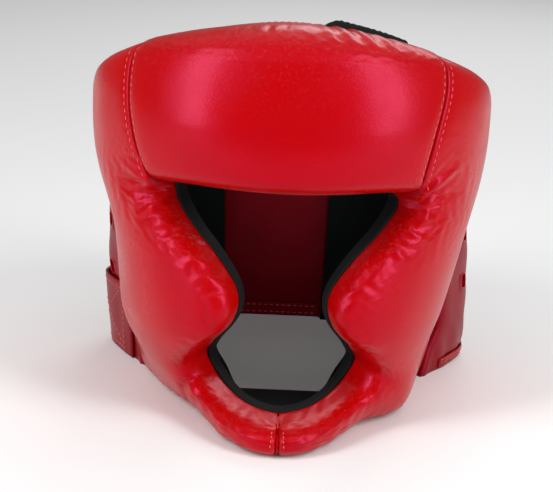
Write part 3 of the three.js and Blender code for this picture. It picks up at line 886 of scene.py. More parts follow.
def ripple(angle, height, side):
    """Slack vinyl over thin foam: slow billows and short gathers above the hem."""
    slow = 0.5 * np.sin(angle * 0.21 + side + height * 0.045) * np.cos(height * 0.052 + side)
    gathers = 0.55 * np.sin(angle * 0.9 + height * 0.11 * side) * np.exp(-(((height - 15) / 11) ** 2))
    crossing = 0.4 * np.sin(height * 0.22 + angle * 0.33 * side) * np.exp(-(((angle - 106) / 9) ** 2))
    return (slow + gathers + crossing) * np.clip((146 - angle) / 25, 0.25, 1)


def panel_params(side, rows=104, columns=62):
    """Angle and height of the panel's grid, with the holes' borders moved onto circles."""
    up = np.linspace(0, 1, rows)[:, None]
    around = np.linspace(0, 1, columns)[None, :]
    rear = np.array(REAR_EDGE[:11])[::-1]
    start = np.interp(up * PANEL_TOP[0][1], rear[:, 1], rear[:, 0]) + 2.2
    angle = mix(start, PANEL_END[side], around)
    height = up * np.interp(angle, *np.array(PANEL_TOP).T)
    centres = []
    for a, h in EAR_HOLES:
        u, v = (angle - a) * PANEL_ARC, height - h
        i, j = np.unravel_index(np.argmin(u * u + v * v), angle.shape)
        centres.append((i, j))
        rim = block((i, j), columns)
        u, v = u.ravel()[rim], v.ravel()[rim]
        far = np.hypot(u, v)
        angle.ravel()[rim] = a + u / far * HOLE / PANEL_ARC
        height.ravel()[rim] = h + v / far * HOLE
    return angle, height, centres


def ear_sheet(name, side, high, low):
    """Closed panel sheet between two depths under the panel's outside."""
    angle, height, centres = panel_params(side)
    base = panel_radius(angle, height, side) + ripple(angle, height, side)
    outer, inner = place(angle, height, base + high, side), place(angle, height, base + low, side)
    return closed_sheet(name, outer, inner, 0.5, centres)


def hole_rings(name, side, tube=0.45, round_count=32, tube_count=6):
    """A thin ring on each hole's edge, where the real vinyl's pale backing shows; the ring takes the red
    vinyl finish.
    """
    t = np.arange(round_count) * 2 * np.pi / round_count
    p = np.arange(tube_count) * 2 * np.pi / tube_count
    rings = []
    for a, h in EAR_HOLES:
        reach = HOLE - 0.1 + tube * np.cos(p)[None, :]
        angle = a + reach * np.cos(t)[:, None] / PANEL_ARC
        height = h + reach * np.sin(t)[:, None]
        base = panel_radius(angle, height, side) + ripple(angle, height, side)
        rings.append(place(angle, height, base - 0.35 + tube * np.sin(p)[None, :], side))
    faces = [
        grid_faces(round_count, tube_count, True, True, k * round_count * tube_count)
        for k in range(len(rings))
    ]
    return make_object(name, np.concatenate(rings), np.concatenate(faces))


def band(side, angles, heights, offset, wrinkle=0.0, rows=9, columns=60):
    """Grid that follows the panels between two angles and two heights, standing off by an offset."""
    angle = np.linspace(*angles, columns)[None, :] + np.zeros((rows, 1))
    height = np.linspace(*heights, rows)[:, None] + 0 * angle
    stand = np.interp(angle, *np.array(offset).T) if np.ndim(offset) else offset
    wave = wrinkle * np.sin(angle * 0.7) * np.sin(height * 0.16 + angle * 0.2)
    return place(angle, height, panel_radius(angle, height, side) + stand + wave, side)


def hem(name, side, angles, offset, tall, node, wrap=7.4, low=1.6, thick=0.8):
    """A turned edge: one sheet folded under the panel's bottom, from outside to inside."""
    angle = np.linspace(*angles, 30)[:, None]
    t = np.linspace(0, 1, 21)[None, :]
    bend = np.clip((t - 0.4) / 0.2, 0, 1) * np.pi
    out = offset - wrap / 2 * (1 - np.cos(bend))
    down, up = np.clip(t / 0.4, 0, 1), np.clip((t - 0.6) / 0.4, 0, 1)
    height = np.where(t < 0.5, mix(tall, low, down), mix(low, tall, up)) - 1.2 * np.sin(bend)
    base = panel_radius(angle, height, side) + 0.12 * np.sin(angle * 1.9)
    normal_out, normal_down = np.cos(bend), -np.sin(bend)
    outer = place(angle, height + normal_down * thick / 2, base + out + normal_out * thick / 2, side)
    inner = place(angle, height - normal_down * thick / 2, base + out - normal_out * thick / 2, side)
    stand_in(closed_sheet(name, outer, inner), "dark_red_vinyl", node)
    return outer


for side, wearer in SIDES:
    shell = ear_sheet(f"ear_panel_{wearer}", side, 0.0, -4.9)
    stand_in(shell, "dark_red_vinyl", f"ear_cover_{wearer}", f"ear_foam_{wearer}")
    cloth = ear_sheet(f"ear_panel_lining_{wearer}", side, -5.1, -6.5)
    stand_in(cloth, "black_lining", f"ear_lining_{wearer}")
    rings = hole_rings(f"ear_hole_edges_{wearer}", side)
    stand_in(rings, None, body=BODY_OF[f"ear_cover_{wearer}"])


def hinge_strip(side, wearer, high=0.6, rows=30, columns=12):
    """A strip from inside the pad's rear wall to inside the panel's front edge, baked in place."""
    up = np.linspace(0.02, 0.98, rows)[:, None]
    across = np.linspace(0, 1, columns)[None, :]
    height = 168 * up + 0 * across
    rear = np.array(REAR_EDGE[:11])[::-1]
    angle = np.interp(height, rear[:, 1], rear[:, 0]) + mix(-5, 6, across)
    front = cavity(angle, height) + 4.5
    behind = panel_radius(angle, height, side) - 2.6
    middle = mix(front, behind, smoothstep(across))
    faces = (place(angle, height, middle + step * high, side) for step in (1, -1))
    x = 0.1 * side
    bend = ("shell", f"ear_wing_{wearer}", (x, 0.024, 0.09), (x, 0.042, 0.09))
    stand_in(closed_sheet(f"ear_panel_joint_{wearer}", *faces), "dark_red_vinyl", bend=bend)


for side, wearer in SIDES:
    hinge_strip(side, wearer)
HEM_LEFT = hem("ear_panel_hem_left", 1, (97.4, 120), 0.9, 7, "ear_hem_left")
HEM_RIGHT = hem("ear_panel_hem_right", -1, (97.4, 103.2), 0.9, 7, "ear_hem_right")

# %% Nape panel, its hem, the strap and its patches
STRAP = {"start": 96, "end": 238, "low": 1, "high": 46, "root": 1.4, "off": 4.4, "thick": 2.2}


def nape_grid(offset, rows=52, columns=62):
    """From the table up to just under the ear panels' top line, and a little slack."""
    angle = np.linspace(142, 208, columns)[None, :] + np.zeros((rows, 1))
    wrapped = np.where(angle > 180, 360 - angle, angle)
    up = np.linspace(0, 1, rows)[:, None]
    height = up * (np.interp(wrapped, *np.array(PANEL_TOP).T) - 4)
    slack = 0.5 * np.sin(angle * 0.35 + height * 0.06) * np.sin(np.pi * up) * (np.cos(height * 0.05) + 0.6)
    return place(angle, height, panel_radius(angle, height, -1) + offset + np.clip(slack, -0.3, 0.8), -1)


NAPE_IN, NAPE_OUT = nape_grid(1.2), nape_grid(3.9)
stand_in(closed_sheet("nape_panel_vinyl", NAPE_OUT, NAPE_IN), "dark_red_vinyl", "nape_panel")
NAPE_HEM = band(-1, (151, 193), (0.3, 8), -0.2, rows=7)
stand_in(
    closed_sheet("nape_panel_hem", NAPE_HEM, band(-1, (151, 193), (0.3, 8), -1.3, rows=7)),
    "dark_red_vinyl", "nape_hem",
)


def strap_offset(extra):
    """Flat on the ear panel at its root, then stepped out over the nape panel's edge."""
    low, high = STRAP["root"] + extra, STRAP["off"] + extra
    return [[99, 0.9 + extra], [105, low], [128, low], [140, high]]


ROUND, TALL = (STRAP["start"], STRAP["end"]), (STRAP["low"], STRAP["high"])
STRAP_OUT = band(-1, ROUND, TALL, strap_offset(STRAP["thick"] - 0.1), 0.12, 15, 150)
STRAP_IN = band(-1, ROUND, TALL, strap_offset(0.1), 0.12, 15, 150)
# The strap is baked in place; the bend between the ear panel and the strap is given but not applied.
STRAP_BEND = ("ear_wing_right", "closure_strap", (-0.11, 0.030, 0.02), (-0.11, 0.050, 0.02))
strap = closed_sheet("rear_closure_strap", STRAP_OUT, STRAP_IN)
stand_in(strap, "dark_red_vinyl", "rear_strap", bend=STRAP_BEND)
PATCH_ROUND, PATCH_TALL = (215, 236), (5, 42)
for name, low, high, node in (
    ("rear_loop_pad", 0.4, 1.6, "rear_loop_patch"),
    ("rear_hook_pad", 2.8, 4.0, "rear_hook_patch"),
):
    sheet = closed_sheet(
        name, band(-1, PATCH_ROUND, PATCH_TALL, high), band(-1, PATCH_ROUND, PATCH_TALL, low)
    )
    stand_in(sheet, "hook_and_loop", node)

# %% [markdown]
# ## Crown
# Two flaps of vinyl with a cloth lining run up from the side pads and close over the head with hook and
# loop, and a tongue reaches back from the forehead's top edge under them. They are sheets over one low
# dome, with the soft waves that slack vinyl takes along its free edges.

# %% Crown flaps, patches and tongue
CROWN = {"root": 84.5, "front": -22, "back": 40, "narrow": 24, "height": 190, "slope": 0.12}


def dome(x, y, rise):
    """Height of the crown: highest in the middle, falling off by the square and towards the back."""
    droop = ((x - AXIS[0]) / CROWN["root"]) ** 2
    return CROWN["height"] + rise * (1 - droop) - CROWN["slope"] * (y - 5)


def flap_grid(side, rise, reach, offset, rows=52, columns=34):
    """Up the inside of the pad from its sewn root, over the pad's edge and over the dome to its reach."""
    row = np.linspace(-0.2, 1, rows)[:, None]
    along, tuck = np.clip(row, 0, 1), np.clip(-row / 0.2, 0, 1)
    across = np.linspace(0, 1, columns)[None, :]
    back = mix(CROWN["narrow"], CROWN["back"], smoothstep(along / 0.45))
    y = mix(CROWN["front"], back, across)
    corner = 7 * along**6 * (2 * np.abs(across - 0.5)) ** 4
    angle = np.degrees(np.arccos(np.clip((AXIS[1] - y) / CROWN["root"], -1, 1)))
    root = AXIS[0] + side * np.sqrt(CROWN["root"] ** 2 - (y - AXIS[1]) ** 2)
    x = mix(root, reach, along) + side * corner
    wave = 0.35 * np.sin(y * 0.32 + along * 5) * np.sin(np.pi * along)
    top = np.stack(np.broadcast_arrays(x, y, dome(x, y, rise) + offset + wave), -1)
    height = CROWN["height"] - 24 * tuck + 0 * y
    inside = mix(CROWN["root"], cavity(angle, height) + 0.6, smoothstep(tuck / 0.7))
    turned = np.pi / 2 * smoothstep(tuck / 0.5)
    wall = place(angle, height + offset * np.cos(turned), inside + offset * np.sin(turned), side)
    wall[..., 2] -= CROWN["slope"] * (y - 5) * (1 - tuck)
    return np.where((tuck > 0)[..., None], wall, top)


PATCH = {"half": 19, "front": -13, "back": 31}
TONGUE = {"half": 30, "root": 75, "back": 4, "height": 202, "rise": 14, "droop": 2.5}


def patch_grid(rise, offset):
    """A rectangle of the dome between the flaps."""
    x = np.linspace(-PATCH["half"], PATCH["half"], 14)[:, None]
    y = np.linspace(PATCH["front"], PATCH["back"], 14)[None, :]
    return np.stack(np.broadcast_arrays(x + 0 * y, y + 0 * x, dome(x, y, rise) + offset), -1)


def tongue_grid(offset, rows=30, columns=34):
    """Climbs at the front under the forehead's edge and droops a little to both sides."""
    back = np.linspace(0, 1, rows)[:, None]
    x = np.linspace(-TONGUE["half"], TONGUE["half"], columns)[None, :]
    y = mix(AXIS[1] - np.sqrt(TONGUE["root"] ** 2 - x**2), TONGUE["back"], back)
    z = TONGUE["height"] + TONGUE["rise"] * (1 - back) ** 2 - TONGUE["droop"] * (x / TONGUE["half"]) ** 2
    z = z + 0.3 * np.sin(x * 0.5 + back * 4)
    return np.stack(np.broadcast_arrays(AXIS[0] + x + 0 * y, y, z + offset), -1)


UNDER, OVER = (19, -22), (25, 28)  # rise and reach
VINYL, VINYL_LOW, CLOTH = 3.4, 1.8, 1.5  # depths over the dome: the vinyl's two faces, the cloth's upper
FLAP_BEND = ("shell", "crown_flap", (-0.088, 0, 0.19), (-0.078, 0, 0.198))
FLAP_LEFT, FLAP_RIGHT = flap_grid(1, *UNDER, VINYL), flap_grid(-1, *OVER, VINYL)
TONGUE_TOP = tongue_grid(VINYL)
for name, top, low, slot, node in (
    ("crown_under_flap", FLAP_LEFT, flap_grid(1, *UNDER, VINYL_LOW), "red_vinyl", "crown_flap_left"),
    ("crown_under_flap_cloth", flap_grid(1, *UNDER, CLOTH), flap_grid(1, *UNDER, 0), "black_lining",
     "crown_lining_left"),
    ("crown_over_flap", FLAP_RIGHT, flap_grid(-1, *OVER, VINYL_LOW), "red_vinyl", "crown_flap_right"),
    ("crown_over_flap_cloth", flap_grid(-1, *OVER, CLOTH), flap_grid(-1, *OVER, 0), "black_lining",
     "crown_lining_right"),
    ("crown_loop_pad", patch_grid(UNDER[0], 4.6), patch_grid(UNDER[0], 3.6), "hook_and_loop",
     "crown_loop_patch"),
    ("crown_hook_pad", patch_grid(OVER[0], -0.4), patch_grid(OVER[0], -1.5), "hook_and_loop",
     "crown_hook_patch"),
    ("crown_tongue_vinyl", TONGUE_TOP, tongue_grid(VINYL_LOW), "red_vinyl", "crown_tongue"),
    ("crown_tongue_cloth", tongue_grid(CLOTH), tongue_grid(0), "black_lining", "crown_tongue_lining"),
):
    bend = FLAP_BEND if "over_flap" in name else None
    stand_in(closed_sheet(name, top, low), slot, node, bend=bend)

# %% [markdown]
# ## Stitches
# Every seam of the real one is a row of short threads that lie in the vinyl, two rows beside the
# forehead's seams and two or three along each hem. A stitch is one small capsule of thirty points, bent
# down into the vinyl at both ends, and a row is that capsule carried along a line on the finished
# surface, so that the rows follow whatever shape the covers have taken.

# %% Points on a finished grid, and capsules along a line


def on_grid(points, row, column):
    """Point and unit normal at fractional row and column numbers, mixed from the four round it."""
    row, column = np.broadcast_arrays(np.asarray(row, float), np.asarray(column, float))
    i = np.clip(np.floor(row).astype(int), 0, points.shape[0] - 2)
    j = np.clip(np.floor(column).astype(int), 0, points.shape[1] - 2)
    f, g = (row - i)[..., None], (column - j)[..., None]

    def between(values):
        here, next_row = (mix(values[k, j], values[k, j + 1], g) for k in (i, i + 1))
        return mix(here, next_row, f)

    normal = between(normals(points))
    return between(points), normal / np.linalg.norm(normal, axis=-1, keepdims=True)


def away(points, normal, inner):
    """The normals turned away from a point inside."""
    towards = np.einsum("...k,...k->...", normal, points - np.asarray(inner, float))
    return normal * np.where(towards < 0, -1, 1)[..., None]


STITCH_ROUND, STITCH_LONG = 5, 6


def stitch_row(line, normal, length=3.0, pitch=4.0, thick=0.36, lift=0.12):
    """Capsules at an even pitch along a line: ends sink in by a parabola, thickness by an ellipse."""
    step = np.linalg.norm(np.diff(line, axis=0), axis=-1)
    reach = np.insert(step.cumsum(), 0, 0)
    count = max(int((reach[-1] - length) / pitch), 1)
    middle = np.linspace(length, reach[-1] - length, count)[:, None]
    t = np.linspace(-1, 1, STITCH_LONG)[None, :]
    at = middle + t * length / 2

    def along(values):
        return np.stack([np.interp(at, reach, values[:, k]) for k in range(3)], -1)

    centre, up = along(line), along(normal)
    up /= np.linalg.norm(up, axis=-1, keepdims=True)
    ahead = np.gradient(centre, axis=1)
    ahead /= np.linalg.norm(ahead, axis=-1, keepdims=True)
    across = np.cross(up, ahead)
    swell = np.sqrt(1.02 - t**2)[..., None, None] * thick
    sink = (lift - 0.45 * t**4)[..., None, None]
    p = (np.arange(STITCH_ROUND) * 2 * np.pi / STITCH_ROUND)[None, None, :, None]
    return (
        centre[..., None, :]
        + across[..., None, :] * swell * np.cos(p)
        + up[..., None, :] * (swell * np.sin(p) * 0.8 + sink)
    )


def stitches(name, rows, node, slot="red_vinyl", bend=None):
    """All rows of one part as one piece, riding on the body of the part's CAD node, or baked in place when a
    bend is given.
    """
    capsules = np.concatenate([row.reshape(-1, STITCH_LONG * STITCH_ROUND, 3) for row in rows])
    single = grid_faces(STITCH_LONG, STITCH_ROUND, round_columns=True)
    starts = np.arange(len(capsules))[:, None, None] * STITCH_LONG * STITCH_ROUND
    faces = (single[None] + starts).reshape(-1, 4)
    stand_in(make_object(name, capsules, faces, turn=False), slot, body=BODY_OF[node], bend=bend)
    print(name, len(capsules), "stitches")


# %% Rows beside the seams of the pads
EDGE_POSITIONS = closer_at_edges(CHEEK_COLUMNS)
SEAM_SIDE = 3.6
INSIDE_PAD, INSIDE_CHIN = (0, 10, 110), (0, -80, 12)


def cheek_line(wearer, stations, millimetres):
    """A line along a cheek cover at a distance from its face edge."""
    points = GRIDS[f"cheek_pad_cover_{wearer}"]
    a0, h0 = edge_line(FACE_EDGES[1 if wearer == "left" else -1], stations)
    a1, h1 = edge_line(REAR_EDGE, stations)
    share = millimetres / np.hypot((a1 - a0) * ARC, h1 - h0)
    column = WALL + np.interp(share, EDGE_POSITIONS, np.arange(CHEEK_COLUMNS))
    row = WALL + stations / LAST * (CHEEK_ROWS - 1)
    line, normal = on_grid(points, row, column)
    return line, away(line, normal, INSIDE_PAD)


def forehead_line(side, downs, millimetres):
    """A line down the forehead cover at a distance from its seam."""
    positions = 2 * closer_at_edges(FOREHEAD_COLUMNS, 0.3) - 1
    across = side * (1 - millimetres / FOREHEAD_HALF)
    column = WALL + np.interp(across, positions, np.arange(FOREHEAD_COLUMNS))
    row = WALL + np.interp(downs, closer_at_edges(FOREHEAD_ROWS), np.arange(FOREHEAD_ROWS))
    line, normal = on_grid(GRIDS["forehead_pad_cover"], row, column + 0 * row)
    return line, away(line, normal, INSIDE_PAD)


def chin_line(wearer, shares, millimetres):
    """A line down the chin beside its middle seam."""
    column = WALL + np.interp(shares, EDGE_POSITIONS, np.arange(CHEEK_COLUMNS))
    row = WALL + (CHEEK_ROWS - 1) * (1 - millimetres / CHIN_STEP / LAST)
    line, normal = on_grid(GRIDS[f"cheek_pad_cover_{wearer}"], row + 0 * column, column)
    return line, away(line, normal, INSIDE_CHIN)


seam_rows = []
for side, wearer in SIDES:
    seam_rows.append(stitch_row(*cheek_line(wearer, np.linspace(0.25, 3.9, 120), SEAM_SIDE)))
    seam_rows.append(stitch_row(*forehead_line(side, np.linspace(0.05, 0.9, 120), SEAM_SIDE)))
    seam_rows.append(stitch_row(*chin_line(wearer, np.linspace(0.12, 0.6, 40), 1.8), 1.8, 2.6))
stitches("pad_seam_stitches", seam_rows, "forehead_cover")

# %% Rows along the hems, the strap and the flaps


def grid_row(points, row, inner, start=0.02, end=0.98, lengthwise=True, count=160):
    """A line along a sheet's grid at a share of its rows, or of its columns."""
    t = np.linspace(start, end, count)
    rows, columns = points.shape[0] - 1, points.shape[1] - 1
    if lengthwise:
        line, normal = on_grid(points, row * rows + 0 * t, t * columns)
    else:
        line, normal = on_grid(points, t * rows, row * columns + 0 * t)
    return line, away(line, normal, inner)


INSIDE_HEAD, UNDER_CROWN = (0, 10, 60), (0, 10, 0)
HEM_THREAD, PANEL_THREAD, GUSSET_THREAD = (2.4, 3.2), (3.0, 3.9), (2.6, 3.6)  # length and pitch
for name, sheet, node in (
    ("ear_hem_stitches_left", HEM_LEFT, "ear_hem_left"),
    ("ear_hem_stitches_right", HEM_RIGHT, "ear_hem_right"),
):
    rows = [
        stitch_row(*grid_row(sheet, share, INSIDE_HEAD, lengthwise=False), *HEM_THREAD)
        for share in (0.08, 0.22)
    ]
    stitches(name, rows, node, "dark_red_vinyl")

strap_rows = [stitch_row(*grid_row(STRAP_OUT, share, INSIDE_HEAD), *PANEL_THREAD) for share in (0.07, 0.93)]
strap_rows += [
    stitch_row(*grid_row(STRAP_OUT, share, INSIDE_HEAD, 0.07, 0.93, False), *PANEL_THREAD)
    for share in (0.03, 0.16, 0.97)
]
# A cross at the strap's root: both diagonals of a box between the first two rows across.
corner_t = np.linspace(0.04, 0.15, 60)
for slope in (1, -1):
    row = 7 + slope * 5.6 * (2 * (corner_t - 0.04) / 0.11 - 1)
    line, normal = on_grid(STRAP_OUT, row, corner_t * 149)
    strap_rows.append(stitch_row(line, away(line, normal, INSIDE_HEAD), *PANEL_THREAD))
stitches("strap_stitches", strap_rows, "rear_strap", "dark_red_vinyl", STRAP_BEND)

nape_rows = [stitch_row(*grid_row(NAPE_OUT, share, INSIDE_HEAD), *PANEL_THREAD) for share in (0.02, 0.97)]
inner_rows = [grid_row(NAPE_HEM, share, INSIDE_HEAD) for share in (0.25, 0.85)]
nape_rows += [stitch_row(line, -normal, *PANEL_THREAD, lift=1.2) for line, normal in inner_rows]
stitches("nape_stitches", nape_rows, "nape_panel", "dark_red_vinyl")

rows = [stitch_row(*grid_row(GUSSET_TOP, 0.82, (0, -60, -500)), *GUSSET_THREAD)]
stitches("gusset_stitches", rows, "chin_gusset", "dark_red_vinyl")

for name, sheet, node in (
    ("under_flap_stitches", FLAP_LEFT, "crown_flap_left"),
    ("over_flap_stitches", FLAP_RIGHT, "crown_flap_right"),
    ("tongue_stitches", TONGUE_TOP, "crown_tongue"),
):
    rows = [
        stitch_row(*grid_row(sheet, share, UNDER_CROWN, 0.05, 0.95, False)) for share in (0.06, 0.94)
    ]
    rows.append(stitch_row(*grid_row(sheet, 0.93, UNDER_CROWN, 0.08, 0.92)))
    stitches(name, rows, node)

# %% [markdown]
# ## Finishes
# Each finish is worked out from the object's own coordinates or from the sewn lengths, so it stays
# with the piece when it moves. What several finishes share is a node group of its own: the grain
# pressed into vinyl, the weave of cloth and tape with painted shade in its gaps, the rubbed ridges
# and painted shade in the hollows of the folds, and the dust on what faces up.

# %% Shared node groups


def new_group(name, inputs, outputs):
    """An empty shader group with its float inputs and outputs, and its two end nodes."""
    tree = bpy.data.node_groups.new(name, "ShaderNodeTree")
    for label, value in inputs.items():
        socket = tree.interface.new_socket(label, in_out="INPUT", socket_type="NodeSocketFloat")
        socket.default_value = value
    for label in outputs:
        tree.interface.new_socket(label, in_out="OUTPUT", socket_type="NodeSocketFloat")
    return tree, tree.nodes.new("NodeGroupInput"), tree.nodes.new("NodeGroupOutput")


def put(tree, kind, links=None, **settings):
    """A node with its settings and inputs: a link where the value is a socket, a constant elsewhere."""
    node = tree.nodes.new(kind)
    for key, value in settings.items():
        setattr(node, key, value)
    for key, value in (links or {}).items():
        if isinstance(value, bpy.types.NodeSocket):
            tree.links.new(value, node.inputs[key])
        else:
            node.inputs[key].default_value = value
    return node


def maths(tree, operation, a, b=0.0, clamp=False):
    """One arithmetic node."""
    return put(tree, "ShaderNodeMath", {0: a, 1: b}, operation=operation, use_clamp=clamp).outputs[0]


def spread(tree, value, low, high, to_low=0.0, to_high=1.0):
    """The value taken from one range to another, clamped."""
    links = {"Value": value, "From Min": low, "From Max": high, "To Min": to_low, "To Max": to_high}
    return put(tree, "ShaderNodeMapRange", links).outputs["Result"]


def grain_group():
    """Grain: small pressed cells with fine tooth between them; mottle: soft patches a finger wide."""
    tree, given, result = new_group(
        "vinyl grain", {"Cells per Metre": 900, "Patches per Metre": 40}, ("Height", "Mottle")
    )
    where = tree.nodes.new("ShaderNodeTexCoord").outputs["Object"]
    cells = put(tree, "ShaderNodeTexVoronoi", {"Vector": where, "Scale": given.outputs[0]})
    tooth = put(tree, "ShaderNodeTexNoise", {"Vector": where, "Scale": given.outputs[0], "Detail": 2.0})
    walls = maths(tree, "MULTIPLY", cells.outputs["Distance"], 0.6)
    height = maths(tree, "ADD", walls, tooth.outputs["Fac"])
    patches = put(
        tree, "ShaderNodeTexNoise", {"Vector": where, "Scale": given.outputs[1], "Detail": 3.0}
    )
    tree.links.new(height, result.inputs["Height"])
    tree.links.new(spread(tree, patches.outputs["Fac"], 0.35, 0.65), result.inputs["Mottle"])
    return tree


def weave_group():
    """Weave: threads over and under, as the product of two waves along the sewn lengths; the gap mask is for
    painted shade between the threads.
    """
    tree, given, result = new_group("weave", {"Threads per Centimetre": 14, "Ribs": 1}, ("Height", "GapShade"))
    sewn = put(tree, "ShaderNodeUVMap", uv_map="sewn").outputs[0]
    parts = put(tree, "ShaderNodeSeparateXYZ", {0: sewn}).outputs
    turns = maths(tree, "MULTIPLY", given.outputs[0], 2 * np.pi)
    warp = maths(tree, "SINE", maths(tree, "MULTIPLY", parts["X"], turns))
    lengthwise = maths(tree, "MULTIPLY", maths(tree, "MULTIPLY", parts["Y"], turns), given.outputs[1])
    weft = maths(tree, "SINE", lengthwise)
    height = spread(tree, maths(tree, "MULTIPLY", warp, weft), -1, 1)
    tree.links.new(height, result.inputs["Height"])
    # Painted shade: a mask for the low parts of the weave, between the threads.
    tree.links.new(spread(tree, height, 0.35, 0.1), result.inputs["GapShade"])
    return tree


def wear_and_shade_group():
    """Rubbed: ridges, by the fold attribute, broken by noise; the second output is painted shade in the
    hollows of the folds.
    """
    # The second input and the second output carry painted shade: the colour is darkened in the hollows of
    # the folds.
    tree, given, result = new_group("wear", {"Rubbing": 1, "Grime": 1}, ("Rubbed", "PaintedShade"))
    fold = put(tree, "ShaderNodeAttribute", attribute_name="fold").outputs["Fac"]
    where = tree.nodes.new("ShaderNodeTexCoord").outputs["Object"]
    broken = put(tree, "ShaderNodeTexNoise", {"Vector": where, "Scale": 220.0, "Detail": 4.0}).outputs["Fac"]
    broken = spread(tree, broken, 0.3, 0.6, 0.35, 1)
    ridge = maths(tree, "MULTIPLY", maths(tree, "MULTIPLY", fold, given.outputs[0], True), broken)
    # Painted shade: the hollows of the folds, scaled by the second input.
    hollow = maths(tree, "MULTIPLY", maths(tree, "MULTIPLY", fold, -1.0), given.outputs[1], True)
    tree.links.new(ridge, result.inputs["Rubbed"])
    tree.links.new(maths(tree, "MULTIPLY", hollow, broken), result.inputs["PaintedShade"])
    return tree


def dust_group():
    """Dust: specks from noise, on what faces up."""
    tree, given, result = new_group("dust", {"Amount": 0.1, "Specks per Metre": 600}, ("Dust",))
    normal = tree.nodes.new("ShaderNodeNewGeometry").outputs["Normal"]
    up = put(tree, "ShaderNodeSeparateXYZ", {0: normal})
    facing = spread(tree, up.outputs["Z"], 0.2, 0.9)
    where = tree.nodes.new("ShaderNodeTexCoord").outputs["Object"]
    specks = put(tree, "ShaderNodeTexNoise", {"Vector": where, "Scale": given.outputs[1], "Detail": 3.0})
    specks = spread(tree, specks.outputs["Fac"], 0.55, 0.75)
    dust = maths(tree, "MULTIPLY", maths(tree, "MULTIPLY", specks, facing), given.outputs[0], True)
    tree.links.new(dust, result.inputs["Dust"])
    return tree


GRAIN, WEAVE, WEAR_AND_SHADE, DUST = grain_group(), weave_group(), wear_and_shade_group(), dust_group()
print("shared groups:", [tree.name for tree in (GRAIN, WEAVE, WEAR_AND_SHADE, DUST)])

# %% [markdown]
# ### Vinyl
# Coated vinyl is one saturated red with a clear satin coat. The main colour goes a little darker in
# patches and lighter where it is rubbed, and the coat breaks up the same way; in the hollows of the
# folds it is darkened as painted shade. The highlight keeps the red of the coat under strong light,
# which the tint of the reflection gives. The panels take a darker copy of this vinyl, whose darkness
# is painted shade.

# %% Two vinyls: the pads' red, and a darker, rougher copy of it for the panels, whose darkness is painted shade


def new_material(name, **constants):
    """A material with constants on its Principled shader; returns it, its tree and the shader."""
    material = bpy.data.materials.new(name)
    material.use_nodes = True
    shader = material.node_tree.nodes["Principled BSDF"]
    for key, value in constants.items():
        shader.inputs[key.replace("_", " ")].default_value = value
    return material, material.node_tree, shader


def use(tree, group, **values):
    """The group placed in a material with its own values."""
    node = tree.nodes.new("ShaderNodeGroup")
    node.node_tree = group
    for key, value in values.items():
        node.inputs[key.replace("_", " ")].default_value = value
    return node.outputs


def blended(tree, amount, a, b):
    """Two colours mixed by a mask."""
    node = put(tree, "ShaderNodeMix", {"Factor": amount}, data_type="RGBA")
    for socket, value in ((node.inputs[6], a), (node.inputs[7], b)):
        if isinstance(value, bpy.types.NodeSocket):
            tree.links.new(value, socket)
        else:
            socket.default_value = (*value, 1)
    return node.outputs[2]


def raised(tree, shader, height, strength, distance):
    """A height feeding the shader's normal through a Bump node."""
    bump = put(tree, "ShaderNodeBump", {"Height": height, "Strength": strength, "Distance": distance})
    tree.links.new(bump.outputs["Normal"], shader.inputs["Normal"])


def vinyl(name, main, deep, rubbed, roughness, coat):
    """Mottle, painted shade in the hollows of the folds, rubbing on ridges, dust and grain over one red."""
    material, tree, shader = new_material(name, Specular_Tint=(1, 0.12, 0.36, 1), Coat_Roughness=0.16)
    grain = use(tree, GRAIN, Cells_per_Metre=800, Patches_per_Metre=45)
    # The second value sets how strongly the hollows of the folds are darkened as painted shade.
    wear = use(tree, WEAR_AND_SHADE, Rubbing=0.2, Grime=0.3)
    dust = use(tree, DUST, Amount=0.05)["Dust"]
    colour = blended(tree, maths(tree, "MULTIPLY", grain["Mottle"], 0.12), main, deep)
    # Painted shade: the colour goes towards the deep red in the hollows of the folds.
    colour = blended(tree, wear["PaintedShade"], colour, deep)
    colour = blended(tree, wear["Rubbed"], colour, rubbed)
    tree.links.new(blended(tree, dust, colour, (0.7, 0.5, 0.45)), shader.inputs["Base Color"])
    rough = maths(tree, "ADD", maths(tree, "MULTIPLY", grain["Mottle"], 0.07), roughness)
    tree.links.new(maths(tree, "ADD", rough, dust), shader.inputs["Roughness"])
    tree.links.new(spread(tree, grain["Mottle"], 0, 1, coat, coat * 0.6), shader.inputs["Coat Weight"])
    raised(tree, shader, grain["Height"], 0.4, 0.00013)
    return material


RED = vinyl(
    "red_vinyl_finish", main=(0.42, 0.0005, 0.0004), deep=(0.28, 0.0002, 0.0002),
    rubbed=(0.48, 0.003, 0.002), roughness=0.27, coat=0.03,
)
# A darker copy of the red vinyl for the ear panels, nape panel, strap, hems and gusset: the darkness is
# painted shade on parts that lie behind and under the pads.
SHADED_PANEL_RED = vinyl(
    "panel_vinyl_painted_shade", main=(0.20, 0.0008, 0.0008), deep=(0.13, 0.0004, 0.0004),
    rubbed=(0.26, 0.002, 0.002), roughness=0.38, coat=0.03,
)

# %% [markdown]
# ### Cloth, foam, hook and loop, and thread
# The lining is a fine plain weave, nearly black, so only its height and the painted shade in its gaps
# show, and it follows the sewn lengths. Tape and thread use the same group, but they have no map of
# sewn lengths, so only their colour and mottle show. Foam and hook-and-loop are fields of small pores,
# which the grain's cells give with other sizes and depths, with painted shade between the cells. The
# thread is paler than the vinyl that it holds.

# %% Cloth, tape, thread, foam, hook and loop


